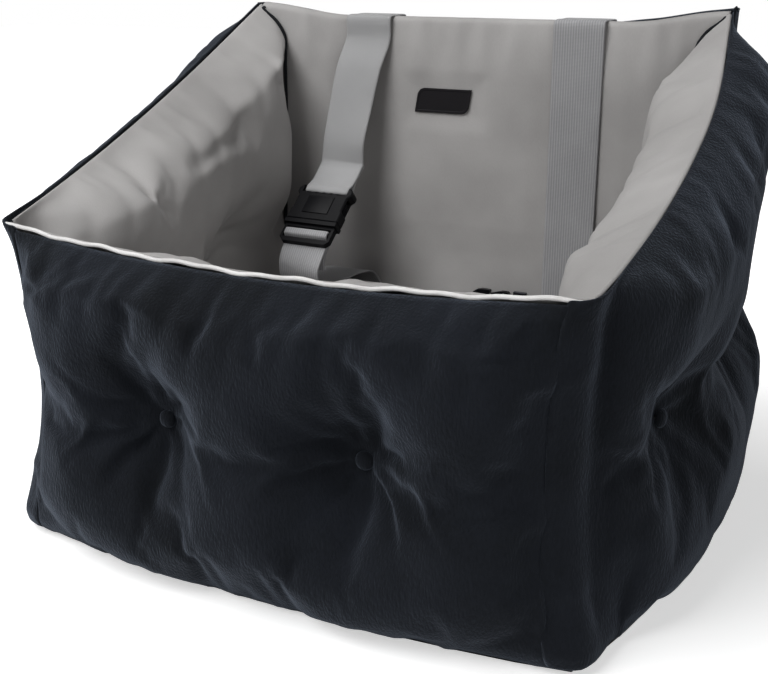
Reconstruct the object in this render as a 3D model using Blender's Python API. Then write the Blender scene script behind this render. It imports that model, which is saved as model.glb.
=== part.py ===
"""Dog car seat: an open padded box with three stuffed walls, a flat back panel, a seat cushion,
two webbing loops with side-release buckles, and a safety tether.

Metres, +Z up. The origin is on the floor under the middle of the box. +X is to the right as seen
from the front, -Y is the front and +Y is the back panel.
"""
import math

import bmesh
import bpy
from mathutils import Matrix, Vector

# The box, measured along its seams
seat_width = 0.500
seat_depth = 0.390
front_height = 0.277
back_height = 0.4365
side_rim_sag_share = 0.42
front_rim_sag = 0.010

# Touching pieces and fabric
gap = 0.0003
cover_thickness = 0.0024
base_fabric_thickness = 0.0035
board_thickness = 0.004
board_side_inset = 0.028
board_front_inset = 0.030

# How far the covers stand off the sheet through a wall's seams
wall_outer_bulge = 0.034
side_outer_bulge = 0.039
front_inner_bulge = 0.047
side_inner_bulge = 0.057
front_top_bow = 0.015
front_bottom_bow = 0.020
side_top_bow = 0.011
side_bottom_bow = 0.031
corner_draw = 0.012
bow_power_share = 0.85
back_end_bulge_share = 0.36
tuft_pinch_share = 0.86
tuft_spread = 0.042
front_tuft_draw_share = 0.80
side_tuft_draw_share = 0.10
valley_pinch_share = 0.22
valley_spread = 0.026
side_valley_share = 0.50
side_valley_spread = 0.038

# Flat seam allowance along each edge of a wall, and the run of the rounded shoulder behind it
corner_allowance = 0.010
corner_shoulder = 0.024
outer_corner_reach = 0.070
inner_corner_reach = 0.120
back_corner_reach = 0.050
rim_allowance = 0.004
rim_shoulder = 0.012
outer_rim_reach = 0.030
inner_rim_reach = 0.028
floor_allowance = 0.003
floor_shoulder = 0.012
outer_floor_reach = 0.060
inner_floor_reach = 0.040

# Tufts
front_tuft_shares = (0.316, 0.684)
side_tuft_shares = (0.280, 0.684)
tuft_height_share = 0.5
tuft_seat = 0.009
cord_hole = 0.006
cord_diameter = 0.003
button_diameter = 0.016
button_height = 0.0062
button_sides = 14

# Back panel
panel_thickness = 0.028
panel_crown = 0.004
panel_crown_reach = 0.065
panel_crown_rise_share = 0.15
panel_sag = 0.011
panel_flat_share = 0.58
piping_diameter = 0.0035
piping_height_shares = (0.168, 0.307, 0.468, 0.607, 0.746, 0.861, 0.926, 0.954)
notch_width = 0.056
notch_height = 0.0135

# Label on the back panel
label_width = 0.058
label_height = 0.024
label_thickness = 0.0012
label_skew = 0.004
label_round = 0.007
label_centre_x = -0.034
label_centre_z = 0.3465

# Cushion and the foam block under it
block_height = 0.068
cushion_clearance = 0.0015
block_clearance = 0.003
cushion_top_bulge = 0.051
cushion_bottom_bulge = 0.032
cushion_edge_reach = 0.024
cushion_allowance = 0.004
cushion_shoulder = 0.010
cushion_crown_share = 0.10
cushion_corner_share = 0.03
cushion_front_flat_share = 0.5
cushion_back_clearance = 0.0135

# Webbing loops round the back panel
webbing_width = 0.050
webbing_thickness = 0.002
left_strap_x = -0.118
right_strap_x = 0.104
strap_standoff = 0.0005
strap_turn = 0.006
strap_lead = 0.020
sewn_fold = 0.030
crack_low = 0.040
crack_high = 0.115
right_tail = 0.044
front_notch_turn_shares = ((0.03, 0.96), (0.19, 0.41), (0.63, 0.06))
rear_notch_turn_shares = ((-0.02, 0.66), (0.06, 0.43), (0.44, 0.09))
diagonal_share = 0.71

# The slack loop: each point's shift from the strap's line, distance in front of the panel, height from
# the panel's top edge or the cushion's seam, and the way its width lies
hanging_spots = ((-0.0138, 0.0350, -0.1335, (0.985, -0.12, -0.06)),
                 (-0.0105, 0.0260, -0.0985, (1, -0.04, 0)), (-0.0060, 0.0165, -0.0605, (1, 0, 0)))
cushion_spots = ((-0.0050, 0.0064, 0.0190, (1, 0, 0)), (-0.0100, 0.0085, 0.0390, (1, 0, 0)),
                 (-0.0140, 0.0170, 0.0520, (1, 0, 0)), (-0.0170, 0.0350, 0.0563, (1, 0, 0)),
                 (-0.0190, 0.0650, 0.0563, (1, 0, 0)), (-0.0195, 0.0900, 0.0556, (1, 0.02, 0)),
                 (-0.0194, 0.1070, 0.0590, (1, 0, -0.04)), (-0.0190, 0.1185, 0.0680, (0.99, -0.10, -0.08)),
                 (-0.0185, 0.1215, 0.0795, (0.98, -0.16, -0.11)))
tail_spots = ((-0.0177, 0.1130, 0.0856), (-0.0179, 0.1122, 0.0770))
left_buckle_shift = -0.0169
left_buckle_forward = 0.0935
left_buckle_rise = 0.118
left_buckle_way = (0.026, 0.752, 0.659)
left_buckle_width_way = (0.972, -0.190, -0.130)
right_buckle_drop = 0.2015

# Side-release buckles, in the buckle's own frame: X across, Y towards the socket's bar, Z through
buckle_half_width = 0.030
buckle_half_thickness = 0.0065
buckle_corner = 0.002
finger_dip = 0.0014
bar_flare = 0.0018
socket_bevel = 0.0011
overrun = 0.001
socket_length = 0.043
cavity_half_width = 0.0262
cavity_half_height = 0.0036
cavity_depth = 0.031
window_start = 0.014
window_end = 0.030
bar_half_thickness = 0.003
bar_depth = 0.0045
slot_depth = 0.0045
slot_half_width = 0.0262
plug_length = 0.026
plug_gap = 0.0005
plug_side_inset = 0.001
plug_corner = 0.004
collar_length = 0.0045
collar_web = 0.003
middle_bar_depth = 0.004
tongue_half_width = 0.005
tongue_length = 0.027
tongue_chamfer = 0.003
arm_half_thickness = 0.0029
arm_root_x = 0.017
arm_root_y = 0.0003
window_clear = 0.0006
pad_inset = 0.0004
arm_outline_shares = ((-0.2, 0), (0.2, 0), (0.437, 0.415), (0.492, 0.49), (0.905, 0.498), (1, 0.68),
                      (0.968, 0.85), (0.698, 0.966), (0.357, 1), (0.198, 0.884), (0.119, 0.476))

# Safety tether tucked along the foot of the back panel
tether_width = 0.020
tether_thickness = 0.0015
tether_start_x = 0.214
tether_settle_x = 0.080
tether_run_shares = (0, 0.48, 0.78, 1)
tether_centre_z = 0.1475
hook_axis_y_inset = 0.010
eye_start_x = 0.050
eye_length = 0.014
eye_half_thickness = 0.002
eye_bar = 0.003
eye_bevel = 0.0006
swivel_pin_radius = 0.0015
swivel_bore_radius = 0.0019
swivel_head_radius = 0.003
swivel_head_thickness = 0.0014
hook_length = 0.047
hook_half_height = 0.012
hook_stock = 0.005
hook_half_thickness = 0.0025
hook_neck_half = 0.0045
hook_shoulder = 0.006
nose_reach = 0.009
nose_round = 0.0012
gate_half_thickness = 0.001
gate_half_height = 0.0021
gate_slot_half = 0.0013
gate_slot_depth = 0.0015
gate_heel_room = 0.0033
gate_pivot_inset = 0.0105
gate_pin_radius = 0.001
gate_bore_radius = 0.0012

# Colours and roughness
plush_colour = (0.018, 0.022, 0.028)
velvet_colour = (0.30, 0.30, 0.295)
webbing_colour = (0.33, 0.33, 0.33)
fibre_colour = (0.80, 0.80, 0.78)
foam_colour = (0.62, 0.60, 0.52)
board_colour = (0.10, 0.09, 0.08)
base_colour = (0.012, 0.013, 0.016)
plastic_colour = (0.006, 0.007, 0.010)
label_colour = (0.014, 0.013, 0.015)
hook_colour = (0.010, 0.010, 0.012)

front_y = -seat_depth / 2
panel_y = seat_depth / 2
panel_back_y = panel_y + panel_thickness
seam_half = cover_thickness + gap / 2
floor_z = base_fabric_thickness + gap
panel_half_width = seat_width / 2 + seam_half
panel_z = floor_z
panel_flat_edge = side_inner_bulge * back_end_bulge_share + 3 * piping_diameter + 2 * seam_half
block_low = floor_z + board_thickness + gap
block_high = block_low + block_height
cushion_seam_z = block_high + gap + cushion_bottom_bulge + seam_half
strap_face_y = panel_y - panel_crown - gap - webbing_thickness / 2 - strap_standoff
strap_rear_y = panel_back_y + gap + webbing_thickness / 2
notch_level = floor_z + board_thickness + webbing_thickness / 2 + 3 * gap
notch_meeting_y = panel_y + panel_thickness / 2
slot_a_start = -plug_gap - collar_length - collar_web
slot_b_start = slot_a_start - slot_depth - middle_bar_depth


def share(value, low, high):
    """Where value lies between low and high, held to 0 and 1."""
    return min(max((value - low) / (high - low), 0), 1)


def rise(distance, allowance, reach):
    """Share of the full bulge at a distance from a seam: none on the allowance, then a shoulder."""
    return 1 - (1 - share(distance, allowance, allowance + reach)) ** 2


def clear_scene():
    for old in list(bpy.data.objects):
        bpy.data.objects.remove(old, do_unlink=True)


def material(name, colour, roughness, metallic=0):
    made = bpy.data.materials.new(name)
    made.use_nodes = True
    shader = made.node_tree.nodes["Principled BSDF"]
    shader.inputs["Base Color"].default_value = (*colour, 1)
    shader.inputs["Roughness"].default_value = roughness
    shader.inputs["Metallic"].default_value = metallic
    return made


def finish(name, bm, finish_material, parent=None, smooth_angle=35):
    """Turn a bmesh into a named object with its faces pointing out."""
    bmesh.ops.recalc_face_normals(bm, faces=bm.faces[:])
    mesh = bpy.data.meshes.new(name)
    bm.to_mesh(mesh)
    bm.free()
    mesh.shade_smooth()
    mesh.set_sharp_from_angle(angle=math.radians(smooth_angle))
    mesh.materials.append(finish_material)
    made = bpy.data.objects.new(name, mesh)
    bpy.context.collection.objects.link(made)
    if parent is not None:
        made.parent = parent
    return made


def stack(loops):
    """A closed solid from a run of equal loops of points: a first face, then one extrusion a loop."""
    bm = bmesh.new()
    face = bm.faces.new([bm.verts.new(point) for point in loops[0]])
    current = list(face.verts)
    for loop in loops[1:]:
        raised = bmesh.ops.extrude_face_region(bm, geom=[face, *face.edges])["geom"]
        face = next(item for item in raised if isinstance(item, bmesh.types.BMFace))
        fresh = set(face.verts)
        following = []
        for vertex in current:
            following.append(next(edge.other_vert(vertex) for edge in vertex.link_edges
                                  if edge.other_vert(vertex) in fresh))
        for vertex, point in zip(following, loop):
            vertex.co = point
        current = following
    return bm


def prism(outline, low, high, across="Z"):
    """A flat outline drawn out between two planes across X, Y or Z."""
    def lift(a, b, level):
        if across == "Z":
            return (a, b, level)
        if across == "Y":
            return (a, level, b)
        return (level, a, b)
    return stack([[lift(a, b, level) for a, b in outline] for level in (low, high)])


def lattice(columns, rows, holes, place):
    """A closed sheet on a grid: column and row numbers become points through place(i, j, side)."""
    first_column, last_column = columns
    first_row, last_row = rows
    across = last_column - first_column
    up = last_row - first_row
    bm = bmesh.new()
    bmesh.ops.create_grid(bm, x_segments=across, y_segments=up, size=0.5)
    for vertex in bm.verts:
        vertex.co.x = first_column + round((vertex.co.x + 0.5) * across)
        vertex.co.y = first_row + round((vertex.co.y + 0.5) * up)
    middles = {(column + 0.5, row + 0.5) for column, row in holes}
    opened = []
    for face in bm.faces:
        middle = face.calc_center_median()
        if any(abs(middle.x - x) + abs(middle.y - y) < 0.25 for x, y in middles):
            opened.append(face)
    bmesh.ops.delete(bm, geom=opened, context="FACES")
    raised = bmesh.ops.extrude_face_region(bm, geom=bm.faces[:])["geom"]
    for vertex in raised:
        if isinstance(vertex, bmesh.types.BMVert):
            vertex.co.z = 1
    for vertex in bm.verts:
        vertex.co = place(round(vertex.co.x), round(vertex.co.y), round(vertex.co.z))
    return bm


def grid_lines(length, start, end, centres, between):
    """Grid lines along a length: close to both edges, round each tuft, and spread evenly between."""
    marks = [list(start)]
    for centre in centres:
        hole = cord_hole / 2
        marks.append([centre - tuft_seat, centre - hole, centre + hole, centre + tuft_seat])
    marks.append([length - distance for distance in reversed(end)])
    lines = list(marks[0])
    for following, extra in zip(marks[1:], between):
        last = lines[-1]
        step = (following[0] - last) / (extra + 1)
        lines += [last + step * (count + 1) for count in range(extra)]
        lines += following
    return lines


class Wall:
    """A stuffed wall: a sheet through its seams, and how far its covers stand off the sheet."""

    def __init__(self, name, start, along, outward, length, rim, tuft_shares, tuft_draw, bows, inner_bulge,
                 blunt_end):
        self.name = name
        self.start = Vector(start)
        self.along = Vector(along)
        self.outward = Vector(outward)
        self.length = length
        self.rim = rim
        self.tuft_draw = tuft_draw
        self.bows = bows
        self.inner_bulge = inner_bulge
        self.tufts = [length * tuft for tuft in tuft_shares]
        self.blunt_end = blunt_end
        self.outer_bulge = side_outer_bulge if blunt_end else wall_outer_bulge
        self.outer_valley = (valley_pinch_share, valley_spread)
        if blunt_end:
            self.outer_valley = (side_valley_share, side_valley_spread)
        corner = (0, corner_allowance, corner_shoulder)
        self.columns = grid_lines(length, corner, corner, self.tufts, (2, 2, 2))
        self.column_ends = (2, len(self.columns) - (1 if blunt_end else 3))

    def height_lines(self, run):
        height = self.rim(run / self.length) - floor_z
        floor = (0, floor_allowance, floor_shoulder)
        rim = (0, rim_allowance, rim_shoulder)
        return grid_lines(height, floor, rim, [height * tuft_height_share], (2, 2))

    def dimple(self, run, height):
        """How far the tufts draw the wall in: 1 on a tuft's flat seat, fading round it."""
        middle = (self.rim(run / self.length) - floor_z) * tuft_height_share
        nearest = min(math.hypot(run - tuft, height - middle) for tuft in self.tufts)
        return math.exp(-(max(nearest - tuft_seat * math.sqrt(2), 0) / tuft_spread) ** 2)

    def pinch(self, run, height, valley_share, spread):
        """Share of the bulge left near the tufts, and a little less along the line between them."""
        middle = (self.rim(run / self.length) - floor_z) * tuft_height_share
        valley = 1 - valley_share * math.exp(-((height - middle) / spread) ** 2)
        return min(valley, 1 - tuft_pinch_share * self.dimple(run, height))

    def bow(self, run, height):
        """How far the seam sheet bows out of its flat plane, less where the tufts hold it."""
        level = height / (self.rim(run / self.length) - floor_z)
        bottom_bow, top_bow = self.bows
        full = bottom_bow * (1 - level) + top_bow * level
        held = 1 - self.tuft_draw * self.dimple(run, height)
        return full * held * (1 - (2 * run / self.length - 1) ** 2) ** bow_power_share

    def outer(self, run, height):
        rim = self.rim(run / self.length) - floor_z
        far_reach = back_corner_reach if self.blunt_end else outer_corner_reach
        full = rise(run, corner_allowance, outer_corner_reach)
        full *= rise(self.length - run, corner_allowance, far_reach)
        full *= rise(rim - height, rim_allowance, outer_rim_reach)
        full *= rise(height, floor_allowance, outer_floor_reach)
        return seam_half + self.outer_bulge * full * self.pinch(run, height, *self.outer_valley)

    def inner(self, run, height):
        rim = self.rim(run / self.length) - floor_z
        full = rise(run, corner_allowance, inner_corner_reach)
        if self.blunt_end:
            end = rise(self.length - run, 0, back_corner_reach)
            full *= back_end_bulge_share + (1 - back_end_bulge_share) * end
        else:
            full *= rise(self.length - run, corner_allowance, inner_corner_reach)
        full *= rise(rim - height, rim_allowance, inner_rim_reach)
        full *= rise(height, floor_allowance, inner_floor_reach)
        return seam_half + self.inner_bulge * full * self.pinch(run, height, valley_pinch_share, valley_spread)

    def point(self, run, height, depth):
        """A point on the wall at a depth outside its seam sheet; the front corners draw in halfway up."""
        out = self.bow(run, height) + depth
        level = height / (self.rim(run / self.length) - floor_z)
        drawn = corner_draw * 4 * level * (1 - level)
        if self.blunt_end:
            near = 1 - run / self.length
            run += drawn * near
        else:
            near = abs(2 * run / self.length - 1)
            run -= drawn * (2 * run / self.length - 1)
        out -= drawn * near ** 2
        flat = self.start + self.along * run + self.outward * out
        return Vector((flat.x, flat.y, floor_z + height))

    def place(self, layer):
        """The place function of one layer: outer cover, filling or inner cover."""
        inset = cover_thickness + gap
        outside, inside = {
            "outer_cover": (lambda outer, inner: outer, lambda outer, inner: outer - cover_thickness),
            "filling": (lambda outer, inner: outer - inset, lambda outer, inner: inset - inner),
            "inner_cover": (lambda outer, inner: cover_thickness - inner, lambda outer, inner: -inner),
        }[layer]

        def put(column, row, side):
            run = self.columns[column]
            height = self.height_lines(run)[row]
            depth = (outside, inside)[side](self.outer(run, height), self.inner(run, height))
            return self.point(run, height, depth)
        return put

    def build(self, plush, velvet, fibre):
        rows = len(self.height_lines(0))
        middle_row = rows // 2 - 1
        holes = [(self.columns.index(tuft - cord_hole / 2), middle_row) for tuft in self.tufts]
        whole = ((0, len(self.columns) - 1), (0, rows - 1))
        stuffed = (self.column_ends, (2, rows - 3))
        for layer, (columns, levels), cloth in (("outer_cover", whole, plush), ("filling", stuffed, fibre),
                                                ("inner_cover", whole, velvet)):
            finish(f"{self.name}_{layer}", lattice(columns, levels, holes, self.place(layer)), cloth,
                   smooth_angle=60)
        for number, tuft in enumerate(self.tufts, start=1):
            self.build_tuft(number, tuft, plush, velvet, fibre)

    def seat(self, run, height, depth):
        """Middle of a tuft's flat seat and the way it faces, at a depth given by outer or inner."""
        near = tuft_seat
        spots = []
        for across, up in ((-near, 0), (near, 0), (0, -near), (0, near)):
            spots.append(self.point(run + across, height + up, depth(run + across, height + up)))
        facing = (spots[1] - spots[0]).cross(spots[3] - spots[2]).normalized()
        outwards = Vector((self.outward.x, self.outward.y, 0))
        if facing.dot(outwards) < 0:
            facing = -facing
        return (spots[0] + spots[1] + spots[2] + spots[3]) / 4, facing

    def build_tuft(self, number, run, plush, velvet, fibre):
        """A covered button on each face of the wall, and the cord that pulls them together."""
        height = (self.rim(run / self.length) - floor_z) * tuft_height_share
        outer_spot, outer_facing = self.seat(run, height, self.outer)
        inner_spot, inner_facing = self.seat(run, height, lambda r, h: -self.inner(r, h))
        button(f"{self.name}_tuft_{number}_outer_button", outer_spot, outer_facing, plush)
        button(f"{self.name}_tuft_{number}_inner_button", inner_spot, -inner_facing, velvet)
        between = outer_spot - inner_spot
        bm = bmesh.new()
        bmesh.ops.create_cone(bm, cap_ends=True, segments=8, radius1=cord_diameter / 2,
                              radius2=cord_diameter / 2, depth=between.length)
        cord = finish(f"{self.name}_tuft_{number}_cord", bm, fibre)
        cord.location = (outer_spot + inner_spot) / 2
        cord.rotation_euler = between.to_track_quat("Z", "Y").to_euler()


def button(name, spot, facing, cloth):
    """A covered button: a low dome on a flat back, placed with its back on the cover."""
    radius = button_diameter / 2
    profile = ((radius * 0.90, 0), (radius, button_height * 0.30), (radius * 0.86, button_height * 0.68),
               (radius * 0.50, button_height * 0.93), (radius * 0.16, button_height))
    turns = [2 * math.pi * side / button_sides for side in range(button_sides)]
    loops = []
    for wide, level in profile:
        loops.append([(wide * math.cos(turn), wide * math.sin(turn), level) for turn in turns])
    made = finish(name, stack(loops), cloth, smooth_angle=60)
    made.location = spot + facing * gap
    made.rotation_euler = facing.to_track_quat("Z", "Y").to_euler()


def side_rim(place):
    """Rim height of a side wall, from the front corner to the back corner."""
    climb = place * (1 - side_rim_sag_share) + side_rim_sag_share * place ** 2
    return front_height + (back_height - front_height) * climb


def front_rim(place):
    return front_height - front_rim_sag * (1 - (2 * place - 1) ** 2)


def make_walls():
    front_length = seat_width + 2 * seam_half
    side_start = front_y + seam_half + gap
    side_length = panel_y - gap - side_start
    front_bows = (front_bottom_bow, front_top_bow)
    side_bows = (side_bottom_bow, side_top_bow)
    front = Wall("front_wall", (-front_length / 2, front_y), (1, 0), (0, -1), front_length, front_rim,
                 front_tuft_shares, front_tuft_draw_share, front_bows, front_inner_bulge, False)
    left = Wall("left_wall", (-seat_width / 2, side_start), (0, 1), (-1, 0), side_length, side_rim,
                side_tuft_shares, side_tuft_draw_share, side_bows, side_inner_bulge, True)
    right = Wall("right_wall", (seat_width / 2, side_start), (0, 1), (1, 0), side_length, side_rim,
                 side_tuft_shares, side_tuft_draw_share, side_bows, side_inner_bulge, True)
    return front, left, right


def panel_top(x):
    """Height of the back panel's top edge: the straps draw its middle down a little."""
    flat = panel_half_width * panel_flat_share
    climb = share(abs(x), flat, panel_half_width)
    return back_height - panel_sag * (1 - climb ** 2 * (3 - 2 * climb))


def panel_columns(inset):
    """Grid lines across the back panel, with a line on each side of the strap notches."""
    side = panel_half_width - inset
    left = (left_strap_x - notch_width / 2 - inset, left_strap_x + notch_width / 2 + inset)
    right = (right_strap_x - notch_width / 2 - inset, right_strap_x + notch_width / 2 + inset)
    edge = side - panel_flat_edge
    outer_left = [-side, -edge, (left[0] - edge) / 2]
    outer_right = [(right[1] + edge) / 2, edge, side]
    middle = [left[1] + (right[0] - left[1]) * part for part in (1 / 3, 2 / 3)]
    notches = [left[0], left_strap_x, left[1]] + middle + [right[0], right_strap_x, right[1]]
    return outer_left + notches + outer_right


def panel_lattice(inset, depths):
    """A sheet of the back panel on its grid, with the two notches left open at the foot."""
    columns = panel_columns(inset)
    low = panel_z + inset
    notch_top = panel_z + notch_height + inset
    flat = panel_crown_rise_share
    parts = (0, flat, flat + (1 - 2 * flat) / 3, 1 - flat - (1 - 2 * flat) / 3, 1 - flat, 1)

    def place(column, row, side):
        x = columns[column]
        top = panel_top(x) - inset
        level = low if row == 0 else notch_top + (top - notch_top) * parts[row - 1]
        return Vector((x, depths[side](x, level), level))
    holes = [(3, 0), (4, 0), (8, 0), (9, 0)]
    return lattice((0, len(columns) - 1), (0, len(parts)), holes, place)


def panel_face(x, z):
    """Where the back panel's padded face lies: a slight crown in front of the panel's plane."""
    across = rise(panel_half_width - abs(x), panel_flat_edge, panel_crown_reach)
    reach = panel_crown_rise_share * (back_height - panel_sag - panel_z - notch_height)
    up = rise(panel_top(x) - z, 0, reach) * rise(z - panel_z - notch_height, 0, reach)
    return panel_y - panel_crown * across * up


def panel_outline(inset):
    """The back panel from the front: its foot with two strap notches, its sides and its sagging top."""
    side = panel_half_width - inset
    low = panel_z + inset
    notch_top = panel_z + notch_height + inset
    foot = [(-side, low)]
    for centre in (left_strap_x, right_strap_x):
        left = centre - notch_width / 2 - inset
        right = centre + notch_width / 2 + inset
        foot += [(left, low), (left, notch_top), (right, notch_top), (right, low)]
    foot.append((side, low))
    return foot + [(x, panel_top(x) - inset) for x in reversed(panel_columns(inset))]


def make_back_panel(wall, plush, velvet, foam, piping_material, label_material):
    wrap = cover_thickness + gap
    core_back = panel_back_y - wrap
    sheet = panel_lattice(0, (panel_face, lambda x, z: panel_face(x, z) + cover_thickness))
    finish("back_panel_inner_cover", sheet, velvet, smooth_angle=60)
    core = panel_lattice(wrap, (lambda x, z: panel_face(x, z) + wrap + gap, lambda x, z: core_back))
    finish("back_panel_core", core, foam, smooth_angle=60)
    levels = ((cover_thickness, panel_back_y - cover_thickness), (cover_thickness, panel_y + wrap),
              (0, panel_y + wrap), (0, panel_back_y))
    tray = stack([[(x, level, z) for x, z in panel_outline(inset)] for inset, level in levels])
    finish("back_panel_outer_cover", tray, plush)
    make_piping(wall, piping_material)
    make_label(label_material)


def tube(name, points, radius, sides_resolution, tube_material):
    """A round tube along a list of points."""
    curve = bpy.data.curves.new(name, "CURVE")
    curve.dimensions = "3D"
    curve.bevel_depth = radius
    curve.bevel_resolution = sides_resolution
    curve.use_fill_caps = True
    spline = curve.splines.new("POLY")
    spline.points.add(len(points) - 1)
    for knot, point in zip(spline.points, points):
        knot.co = (*point, 1)
    curve.materials.append(tube_material)
    made = bpy.data.objects.new(name, curve)
    bpy.context.collection.objects.link(made)
    return made


def smooth_route(knots, steps):
    """Points of a centripetal Catmull-Rom curve; each knot starts with x, y, z and may carry more."""
    ends = [tuple(2 * a - b for a, b in zip(knots[0], knots[1]))]
    ends += list(knots)
    ends.append(tuple(2 * a - b for a, b in zip(knots[-1], knots[-2])))

    def blend(first, second, low, high, when):
        part = (when - low) / (high - low)
        return tuple(a + (b - a) * part for a, b in zip(first, second))
    route = []
    for before, start, stop, after in zip(ends, ends[1:], ends[2:], ends[3:]):
        times = [0]
        for here, there in ((before, start), (start, stop), (stop, after)):
            times.append(times[-1] + math.sqrt(math.dist(here[:3], there[:3])))
        t0, t1, t2, t3 = times
        for step in range(steps):
            when = t1 + (t2 - t1) * step / steps
            a1 = blend(before, start, t0, t1, when)
            a2 = blend(start, stop, t1, t2, when)
            a3 = blend(stop, after, t2, t3, when)
            b1 = blend(a1, a2, t0, t2, when)
            b2 = blend(a2, a3, t1, t3, when)
            route.append(blend(b1, b2, t1, t2, when))
    route.append(tuple(knots[-1]))
    return route


def make_piping(wall, piping_material):
    """Piping in the corners beside the back panel and along its top edge."""
    radius = piping_diameter / 2
    level_y = panel_y - radius - gap
    run = wall.length - 2 * radius - 2 * gap
    right = []
    for part in piping_height_shares:
        height = (back_height - floor_z) * part
        spot = wall.point(run, height, -wall.inner(run, height) - radius - 2 * gap)
        right.append((spot.x, level_y, spot.z))
    top = []
    steps = 10
    reach = right[-1][0] - radius
    for step in range(steps + 1):
        x = reach - 2 * reach * step / steps
        top.append((x, level_y, panel_top(x) - radius - gap))
    left = [(-x, y, z) for x, y, z in reversed(right)]
    tube("back_panel_piping", smooth_route(right + top + left, 2), radius, 1, piping_material)


def make_label(label_material):
    """A bare skewed plate with two opposite corners rounded."""
    half_width = label_width / 2
    half_height = label_height / 2
    outline = []
    turns = [math.pi / 2 * step / 5 for step in range(6)]
    for turn in turns:
        outline.append((-half_width + label_round * (1 - math.sin(turn)),
                        half_height - label_round * (1 - math.cos(turn))))
    outline.append((-half_width, -half_height))
    for turn in turns:
        outline.append((half_width - label_round * (1 - math.sin(turn)),
                        -half_height + label_round * (1 - math.cos(turn))))
    outline.append((half_width, half_height))
    skewed = []
    for x, z in outline:
        skewed.append((label_centre_x + x + label_skew * z / label_height, label_centre_z + z))
    face_y = panel_y - panel_crown - gap
    finish("label_patch", prism(skewed, face_y - label_thickness, face_y, across="Y"), label_material)


def make_base(walls, base_material, board_material):
    """The non-slip bottom under the whole footprint, and the stiff board inside the walls."""
    front, left, right = walls
    margin = seam_half + gap
    steps = 12
    outline = []
    for step in range(steps + 1):
        run = front.length * step / steps
        spot = front.point(run, 0, margin)
        outline.append((spot.x, spot.y))
    for step in range(1, steps):
        spot = right.point(right.length * step / steps, 0, margin)
        outline.append((spot.x, spot.y))
    outline += [(panel_half_width, panel_y), (panel_half_width, panel_back_y)]
    outline += [(-panel_half_width, panel_back_y), (-panel_half_width, panel_y)]
    for step in range(steps - 1, 0, -1):
        spot = left.point(left.length * step / steps, 0, margin)
        outline.append((spot.x, spot.y))
    finish("non_slip_bottom", prism(outline, 0, base_fabric_thickness), base_material)
    half = seat_width / 2 - board_side_inset
    low_y = front_y + board_front_inset
    high_y = panel_y - panel_crown - gap
    board = prism(rounded_rectangle(-half, half, low_y, high_y, board_side_inset / 2, 4), floor_z,
                  floor_z + board_thickness)
    finish("base_board", board, board_material)


def rounded_rectangle(low_x, high_x, low_y, high_y, radius, steps):
    outline = []
    corners = ((high_x - radius, high_y - radius, 0), (low_x + radius, high_y - radius, 1),
               (low_x + radius, low_y + radius, 2), (high_x - radius, low_y + radius, 3))
    for x, y, quarter in corners:
        for step in range(steps + 1):
            turn = math.pi / 2 * (quarter + step / steps)
            outline.append((x + radius * math.cos(turn), y + radius * math.sin(turn)))
    return outline


def side_limit(wall, y, low_z, high_z):
    """Half the room between the side walls' inner covers at y, over a band of heights."""
    run = min(max(y - wall.start.y, 0), wall.length)
    return min(wall.point(run, level, -wall.inner(run, level)).x for level in levels_between(low_z, high_z))


def front_limit(wall, x, low_z, high_z):
    """Where the front wall's inner cover comes closest to the back at x, over a band of heights."""
    run = x - wall.start.x
    return max(wall.point(run, level, -wall.inner(run, level)).y for level in levels_between(low_z, high_z))


def levels_between(low_z, high_z):
    steps = 6
    return [low_z + (high_z - low_z) * step / steps - floor_z for step in range(steps + 1)]


def seat_plan(walls, low_z, high_z, clearance):
    """Map from across and along, each -1 to 1, to a point of the room left between the walls."""
    front, left, right = walls
    back_y = panel_y - cushion_back_clearance
    front_mid = front_limit(front, 0, low_z, high_z) + clearance

    def point(across, along):
        y_share = (along + 1) / 2
        half = side_limit(right, front_mid + (back_y - front_mid) * y_share, low_z, high_z) - clearance
        x = half * across * (1 - cushion_corner_share * along ** 4)
        start = front_limit(front, x, low_z, high_z) + clearance
        start += max(front_mid - start, 0) * cushion_front_flat_share
        return x, start + (back_y - start) * y_share
    return point


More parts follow.
